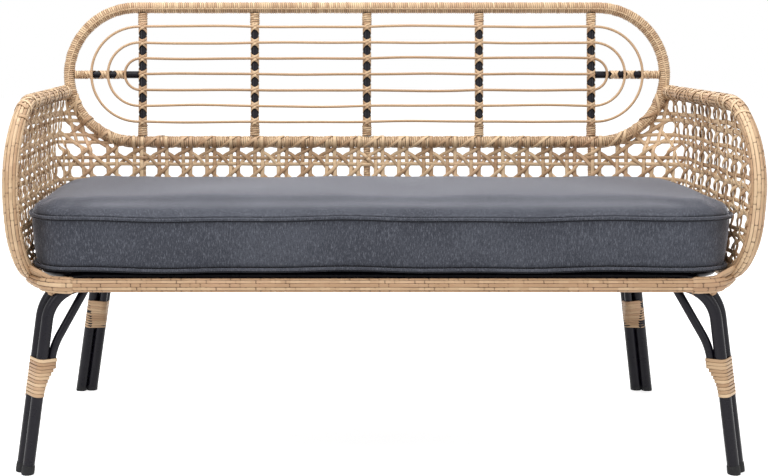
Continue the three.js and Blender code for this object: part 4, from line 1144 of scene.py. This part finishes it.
class BENCH_OT_shell_cane(bpy.types.Operator):
    """Weaves the open cane of the arms, corners and back in four directions"""
    bl_idname = "bench.shell_cane"
    bl_label = "Open cane"

    def execute(self, context):
        sizes, strand = context.scene.bench_sizes, finishes()["strand"]
        thickness = mm(sizes.strip_thickness)
        for side, name in SIDES:
            rng = np.random.default_rng(41)
            made, ties = Bundle(), Bundle()
            lines = ((FRAME_LINE, BACK_TUBE / 2), (hoop_line(side), ARM_TUBE / 2),
                     (shell_rail_line(), ARM_TUBE / 2))
            for number, (points, outs, width, front) in enumerate(shell_strips(side, sizes, rng)):
                tone = rng.random()
                ribbon(made, points, outs, width, thickness, tone, number)
                for end, course in ((points[0], unit(points[0] - points[1])),
                                    (points[-1], unit(points[-1] - points[-2]))):
                    if abs(end[0]) < 12 and BACK_Z - 200 < end[2]:
                        continue
                    apart = [np.min(np.linalg.norm(line.centres - end, axis=1)) - radius
                             for line, radius in lines]
                    which = int(np.argmin(apart))
                    if apart[which] > TIE_REACH:
                        continue
                    line, radius = lines[which]
                    over_top = which == 1 and end[2] > ARM_TOP - 40
                    if which == 1:
                        front = (number % 2 == 0) != (side > 0)
                    span = TOP_TIE_SPAN if over_top else TIE_SPANS[which]
                    lift = 1.1 if which == 0 and front else 0.5 + 0.5 * over_top * rng.random()
                    tie(ties, line, radius + lift, end, course, front, span, width.mean() * 0.92, tone,
                        number)
            made.piece(f"{name}_open_cane", strand, "cane",
                       [f"{name}_arm_cane", f"{name}_corner_cane", f"{name}_back_cane"])
            ties.piece(f"{name}_cane_ties", strand, "cane", [])
        return {"FINISHED"}


class BENCH_OT_front_rail(bpy.types.Operator):
    """Covers the front rail with lengthwise strips and wraps its ends over the legs"""
    bl_idname = "bench.front_rail"
    bl_label = "Front rail"

    def execute(self, context):
        sizes, strand = context.scene.bench_sizes, finishes()["strand"]
        rng = np.random.default_rng(53)
        line, rise = front_rail_line(), mm(sizes.plait_rise)
        made = Bundle()
        # shade lowers the rail's tones: painted shade, keeping it darker than the hoops
        plait(made, line, RAIL_TUBE / 2 - rise, 11, mm(sizes.float_length) * 1.25, rise, rng,
              start=8, end=line.length - 8, shade=0.3)
        made.piece("front_rail_plait", strand, "wrapped_tube", ["front_rail"])
        for side, name in SIDES:
            x, y = side * line.centres[:, 0], line.centres[:, 1]
            covered = line.marks[(x > WRAP_INNER) & (y < WRAP_BACK)]
            made = Bundle()
            # The corner wraps' tones are lowered by painted shade too
            plait(made, line, RAIL_TUBE / 2 + 1.2, 11, mm(sizes.float_length), rise + 0.3, rng, covered.min(),
                  covered.max(), taper=8, shade=0.2)
            self.web(made, line, side, rng)
            made.piece(f"{name}_corner_wrap_winding", strand, "wrapped_tube", [f"{name}_corner_wrap"])
        return {"FINISHED"}

    def web(self, made, line, side, rng):
        """Strips that close the corner between rail and hoop, and a tongue of strips over the leg tubes."""
        hoop = hoop_line(side).centres
        low = hoop[(hoop[:, 2] < WEB_TOP) & (hoop[:, 1] < WEB_BACK)]
        way = np.linspace(0, 1, 9)[:, None]
        for number, share in enumerate(np.linspace(0, 1, 9)):
            upper = low[int(share * (len(low) - 1))] + (-side * 7, 0, -2)
            x = side * (WEB_START + WEB_WIDTH * share)
            lower = line.centres[np.argmin(np.abs(line.centres[:, 0] - x))] + (0, -6, 9)
            # The web's strips take only the darker tones: painted shade low in the corner
            ribbon(made, upper + way * (lower - upper), np.tile([0.3 * side, -1, 0.3], (9, 1)), 8.5, 1.4,
                   rng.random() * 0.5, number)
        for number, across in enumerate((-24, -13, 0, 13, 24)):
            top = np.array([side * TONGUE_X + across, -287, RAIL_HEIGHT - 5])
            middle = np.array([side * TONGUE_X + across * 0.8, -284, RAIL_HEIGHT - 18])
            tip = np.array([side * TONGUE_X + across * 0.12, -275, RAIL_HEIGHT - 30])
            points = np.array([top, (top + middle) / 2 + (0, -1.5, 0), middle, (middle + tip) / 2, tip])
            # The tongue's strips take darker tones too: painted shade under the rail
            ribbon(made, points, np.tile([0, -1, -0.3], (5, 1)), np.array([7, 7.5, 7.5, 6.5, 4.5]), 1.6,
                   rng.random() * 0.6, number)


class BENCH_OT_leg_bindings(bpy.types.Operator):
    """Winds a flat strip round each leg pair and its brace"""
    bl_idname = "bench.leg_bindings"
    bl_label = "Leg bindings"

    def execute(self, context):
        width, strand = mm(context.scene.bench_sizes.binding_width), finishes()["strand"]
        rng = np.random.default_rng(61)
        for title, legs in LEG_PAIRS:
            for side, name in SIDES:
                made = Bundle()
                turns, steps = 11, 28
                low, high = legs["binding"] + width / 2, BINDING_TOP - width / 2
                heights = np.linspace(low, high, turns * steps + 1)
                for number in range(turns):
                    part = slice(number * steps, (number + 1) * steps + 2)
                    angles = np.arange(turns * steps + 3)[part] / steps * FULL_TURN
                    # The rear bindings take only the darker tones: painted shade, as they stand further back
                    # under the seat
                    tone = rng.random() * (1 if title == "front" else 0.5)
                    self.turn(made, legs, side, heights, angles, part, width, tone, number,
                              rng.uniform(-0.25, 0.25))
                node = f"{title}_{name}_leg_binding"
                made.piece(node + "_strip", strand, "cane", [node])
        return {"FINISHED"}

    def turn(self, made, legs, side, heights, angles, part, width, tone, number, loose):
        count = len(heights[part])
        angles = angles[:count]
        points = []
        for z, angle in zip(heights[part], angles):
            lean = 1 / math.cos(math.atan(math.hypot(legs["splay"], legs["rake"])))
            held = [(leg_at(legs, nested, z), LEG_TUBE / 2 * lean) for nested in (0, 1)]
            share = np.clip((z - BRACE_FOOT + 32) / 50, 0, 1) ** 2
            if share > 0:
                held.append((held[1][0] + share * (brace_at(legs, z) - held[1][0]),
                             (LEG_TUBE + share * (BRACE_TUBE - LEG_TUBE)) / 2 * lean))
            facing = np.array([math.cos(angle), math.sin(angle), 0])
            centre, radius = max(held, key=lambda one: one[0] @ facing + one[1])
            points.append(centre + (radius + 1.2 + loose) * facing)
        points = np.array(points) * (side, 1, 1)
        outs = np.stack([side * np.cos(angles), np.sin(angles), np.zeros(count)], axis=-1)
        ribbon(made, points, outs, width, 1.6, tone, number)


class BENCH_OT_seat_straps(bpy.types.Operator):
    """Weaves the straps under the cushion"""
    bl_idname = "bench.seat_straps"
    bl_label = "Seat straps"

    def execute(self, context):
        made, width = Bundle(), STRAP_WIDTH
        xs = np.linspace(-SEAT_SIDE, SEAT_SIDE, NET_COLUMNS + 1)[1:-1]
        ys = np.linspace(SEAT_FRONT, SEAT_REAR, NET_ROWS + 1)[1:-1]
        for row, x in enumerate(xs):
            run = np.linspace(SEAT_FRONT, SEAT_REAR, 60)
            weave = 0.7 * np.cos((run - ys[0]) / (ys[1] - ys[0]) * math.pi) * (-1) ** row
            self.strap(made, np.stack([np.full(60, x), run, NET_Z + weave], axis=-1), width, row)
        for row, y in enumerate(ys):
            run = np.linspace(-SEAT_SIDE, SEAT_SIDE, 140)
            weave = -0.7 * np.cos((run - xs[0]) / (xs[1] - xs[0]) * math.pi) * (-1) ** row
            self.strap(made, np.stack([run, np.full(140, y), NET_Z + weave], axis=-1), width, 20 + row)
        made.piece("seat_straps", finishes()["seat_strap"], "seat_mesh", ["seat_net"])
        return {"FINISHED"}

    def strap(self, made, points, width, number):
        """A strap with both ends turned down round the seat frame's tube."""
        course = unit(points[1] - points[0])
        radius = SEAT_TUBE / 2 + 1.0
        parts = []
        for end, away in ((points[0], -course), (points[-1], course)):
            centre = np.array([end[0], end[1], SEAT_HEIGHT])
            turns = np.linspace(0, 3.6, 12)
            parts.append(centre + radius * (np.cos(turns)[:, None] * UPRIGHT + np.sin(turns)[:, None] * away))
        line = np.vstack([parts[0][::-1], points[1:-1], parts[1]])
        outs_first = unit(parts[0][::-1] - [points[0][0], points[0][1], SEAT_HEIGHT])
        outs_last = unit(parts[1] - [points[-1][0], points[-1][1], SEAT_HEIGHT])
        outs = np.vstack([outs_first, np.tile(UPRIGHT, (len(points) - 2, 1)), outs_last])
        ribbon(made, line, outs, width, 1.1, 0.5, number)


# Cushion
def cushion_outline(inset, steps=10, side_steps=36):
    """The cushion's outline from above, drawn in by an inset."""
    corners = [(1, CUSHION_FRONT, 1, FRONT_CORNER, -90), (1, CUSHION_BACK, -1, BACK_CORNER, 0),
               (-1, CUSHION_BACK, -1, BACK_CORNER, 90), (-1, CUSHION_FRONT, 1, FRONT_CORNER, 180)]
    points = []
    for side, edge, inward, radius, turn in corners:
        centre = np.array([side * (PAD_HALF - radius), edge + inward * radius])
        angles = np.radians(turn + 90 * np.arange(steps + 1) / steps)
        points.append(centre + np.stack([np.cos(angles), np.sin(angles)], axis=-1) * (radius - inset))
    outline = np.vstack([*points, points[0][:1]])
    marks = np.concatenate([[0], np.cumsum(np.linalg.norm(np.diff(outline, axis=0), axis=1))])
    wanted = np.linspace(0, marks[-1], 4 * (steps + side_steps) + 1)[:-1]
    return np.stack([np.interp(wanted, marks, outline[:, axis]) for axis in range(2)], axis=-1)


def cushion_rings(smaller):
    """Rings of the unfilled cushion from the middle below to the middle on top."""
    middle = np.array([0, (CUSHION_FRONT + CUSHION_BACK) / 2])

    def ring(inset, share, z):
        flat = (cushion_outline(inset + smaller) - middle) * share + middle
        return np.column_stack([flat, np.full(len(flat), z)])

    def crown(inset, share, rise):
        """A ring on top, which climbs faster at the two ends of the cushion than along the front."""
        points = ring(inset, share, SEAM_Z)
        at_ends = np.clip((np.abs(points[:, 0]) - PAD_HALF + 130) / 100, 0, 1)
        points[:, 2] += (PAD_TOP - SEAM_Z) * rise ** (1 - 0.62 * at_ends)
        return points

    low = CUSHION_LOW
    rings = [ring(PAD_DRAWN + 8, share, low - 3) for share in (0.1, 0.35, 0.6, 0.8, 0.95)]
    rings.append(ring(PAD_DRAWN + 7, 1, low - 3))
    for share in (0.0, 0.05, 0.12, 0.3, 0.5, 0.7, 0.88, 0.95, 1.0):
        inset = PAD_DRAWN * (1 - share) + 4 - 3.2 * math.sin(share * math.pi) ** 0.6
        rings.append(ring(inset, 1, low + share * (SEAM_Z - low)))
    for step in np.linspace(0.12, 1, 15):
        share = (1 - (1 - step ** 2) ** 3.2) ** (1 / 2.1)
        rings.append(crown(CROWN_REACH * step ** 2, 1, share))
    for share in (0.93, 0.86, 0.7, 0.5, 0.28, 0.08):
        rings.append(crown(CROWN_REACH, share, 1 + 0.09 * (1 - share ** 2)))
    return np.array(rings)


def seam_sway(x, y):
    """How far the sewn edges rise and fall along their run."""
    return 1.5 * np.sin(x / 88 + 0.6 + y / 70) + 0.9 * np.sin(x / 37 + 2 - y / 40)


def vertex_places(mesh):
    """Places of a mesh's vertices in metres, a row each."""
    places = np.empty(len(mesh.vertices) * 3, np.float32)
    mesh.vertices.foreach_get("co", places)
    return places.reshape(-1, 3)


class BENCH_OT_cushion(bpy.types.Operator):
    """Fills and sews the seat cushion"""
    bl_idname = "bench.cushion"
    bl_label = "Cushion"

    def execute(self, context):
        sizes = context.scene.cushion_sizes
        cloth = finishes()["mixed_cloth"]
        made = Bundle()
        made.grid(cushion_rings(mm(sizes.start_smaller)))
        pad = made.piece("seat_cushion_case", cloth, "cushion_cloth", ["seat_cushion"], "cushion")
        modifier = pad.modifiers.new("even", "REMESH")
        modifier.mode, modifier.voxel_size = "VOXEL", sizes.voxel * 1
        modifier.use_smooth_shade = True
        self.freeze(pad)
        self.swell(context.scene, pad, sizes)
        self.smooth(pad)
        for height, inset, name in ((SEAM_Z, 2.6, "top"), (CUSHION_LOW, PAD_DRAWN + 2.2, "bottom")):
            self.piping(name, height, inset, mm(sizes.piping), cloth)
        return {"FINISHED"}

    def freeze(self, pad):
        graph = bpy.context.evaluated_depsgraph_get()
        mesh = bpy.data.meshes.new_from_object(pad.evaluated_get(graph))
        pad.modifiers.clear()
        old, pad.data = pad.data, mesh
        bpy.data.meshes.remove(old)

    def swell(self, scene, pad, sizes):
        """Presses the case outward while its seams and its underside stay where they are sewn."""
        rest = vertex_places(pad.data)
        z = rest[:, 2] * METRE
        held = (z < CUSHION_LOW + 4) | (np.abs(z - SEAM_Z) < 4)
        group = pad.vertex_groups.new(name="sewn")
        group.add(np.flatnonzero(held).tolist(), 1.0, "ADD")
        cloth = pad.modifiers.new("fill", "CLOTH")
        cloth.settings.quality, cloth.settings.mass = 5, 0.3
        cloth.settings.tension_stiffness = cloth.settings.compression_stiffness = 12
        cloth.settings.bending_stiffness = 1.5
        cloth.settings.use_pressure, cloth.settings.uniform_pressure_force = True, SWELL_PRESSURE
        cloth.settings.effector_weights.gravity = 0.0
        cloth.settings.vertex_group_mass = "sewn"
        cloth.point_cache.frame_start, cloth.point_cache.frame_end = 1, SWELL_FRAMES
        for step in range(1, SWELL_FRAMES + 1):
            scene.frame_set(step)
        self.freeze(pad)
        scene.frame_set(1)
        shift = vertex_places(pad.data) - rest
        far = np.linalg.norm(shift, axis=1, keepdims=True)
        shift *= np.minimum(1, sizes.most_swell / np.maximum(far, 1e-9))
        pad.data.vertices.foreach_set("co", (rest + shift).astype(np.float32).ravel())
        pad.data.update()

    def smooth(self, pad):
        """Evens the mesh, draws the cloth in at both seams with painted shade there, and gives the top soft
        dips.
        """
        places = vertex_places(pad.data) * METRE
        on_top = np.flatnonzero((places[:, 2] > SEAM_Z + 9) & (np.abs(places[:, 0]) < PAD_HALF - 26))
        pad.vertex_groups.clear()
        pad.vertex_groups.new(name="top").add(on_top.tolist(), 1.0, "ADD")
        for title, iterations, group in (("even", 4, ""), ("crown", 14, "top")):
            even = pad.modifiers.new(title, "SMOOTH")
            even.factor, even.iterations, even.vertex_group = 0.5, iterations, group
        self.freeze(pad)
        mesh = pad.data
        x, y, z = (vertex_places(mesh) * METRE).T
        top = np.clip((z - SEAM_Z - 6) / 14, 0, 1)
        z = z + top * (1.3 * np.sin(x / 95 + 1.2) * np.sin(y / 70 + 0.5)
                       + 0.8 * np.sin(x / 41) * np.sin(y / 53 + 2))
        near_front = np.clip((CUSHION_FRONT + 40 - y) / 30, 0, 1) * (z < SEAM_Z - 8) * (z > CUSHION_LOW + 8)
        y = y + near_front * 1.1 * np.sin(x / 62 + 0.7) * np.sin((z - CUSHION_LOW) / 94 * math.pi)
        hollow = np.zeros(len(z))
        # Painted shade where each seam draws the cloth in
        for seam in (SEAM_Z, CUSHION_LOW):
            drawn = np.exp(-((z - seam) / 18) ** 2)
            hollow = np.maximum(hollow, np.exp(-((z - seam) / 4.5) ** 2))
            z = z + drawn * seam_sway(x, y)
        z = np.maximum(z, CUSHION_LOW - WELT)
        store = mesh.attributes.new("hollow", "FLOAT", "POINT")
        store.data.foreach_set("value", hollow.astype(np.float32))
        points = np.column_stack([x, y, z]) / METRE
        mesh.vertices.foreach_set("co", points.astype(np.float32).ravel())
        mesh.polygons.foreach_set("use_smooth", np.ones(len(mesh.polygons), bool))
        mesh.update()

    def piping(self, name, height, inset, radius, cloth):
        rng = np.random.default_rng(71)
        outline = cushion_outline(inset, 16, 60)
        height = height + seam_sway(*outline.T)
        line = Line(np.column_stack([outline, height]), UPRIGHT, closed=True, spacing=3)
        made = Bundle()
        turns = np.arange(14) / 14 * FULL_TURN
        places = line.marks[:-1]
        uneven = 1 + 0.02 * np.sin(places * 1.9)[:, None] + 0.015 * rng.standard_normal((len(places), 1))
        points, _ = line.skin(places[:, None], turns[None], radius * uneven)
        made.grid(points, closed=True)
        # A thin ring under each piping in full painted shade: a painted shadow in the crease below it
        shadow_ring, _ = line.skin(places[:, None], turns[None, ::2], 1.5)
        made.grid(shadow_ring - (0, 0, radius + 1.1), hollow=1.0, closed=True)
        made.piece(f"cushion_{name}_piping", cloth, "cushion_cloth", [], "cushion")


class BENCH_PT_panel(bpy.types.Panel):
    """Lists the pieces of the bench and their settings"""
    bl_label = "Garden bench"
    bl_space_type = "VIEW_3D"
    bl_region_type = "UI"
    bl_category = "Bench"

    def draw(self, context):
        for operator in OPERATORS:
            self.layout.operator(operator.bl_idname)
        for settings in (context.scene.bench_sizes, context.scene.cushion_sizes, context.scene.bench_colours):
            box = self.layout.box()
            for name in settings.__annotations__:
                box.prop(settings, name)


OPERATORS = (BENCH_OT_stage, BENCH_OT_steel, BENCH_OT_feet, BENCH_OT_back_frame, BENCH_OT_lashings,
             BENCH_OT_thin_canes, BENCH_OT_arm_hoops, BENCH_OT_shell_cane, BENCH_OT_front_rail,
             BENCH_OT_leg_bindings, BENCH_OT_seat_straps, BENCH_OT_cushion)
CLASSES = (BenchSizes, CushionSizes, BenchColours, *OPERATORS, BENCH_PT_panel)


def register():
    for one in CLASSES:
        bpy.utils.register_class(one)
    bpy.types.Scene.bench_sizes = bpy.props.PointerProperty(type=BenchSizes)
    bpy.types.Scene.cushion_sizes = bpy.props.PointerProperty(type=CushionSizes)
    bpy.types.Scene.bench_colours = bpy.props.PointerProperty(type=BenchColours)


def unregister():
    for name in ("bench_sizes", "cushion_sizes", "bench_colours"):
        delattr(bpy.types.Scene, name)
    for one in reversed(CLASSES):
        bpy.utils.unregister_class(one)


def main():
    register()
    for operator in OPERATORS:
        group, name = operator.bl_idname.split(".")
        getattr(getattr(bpy.ops, group), name)()


if __name__ == "__main__":
    main()
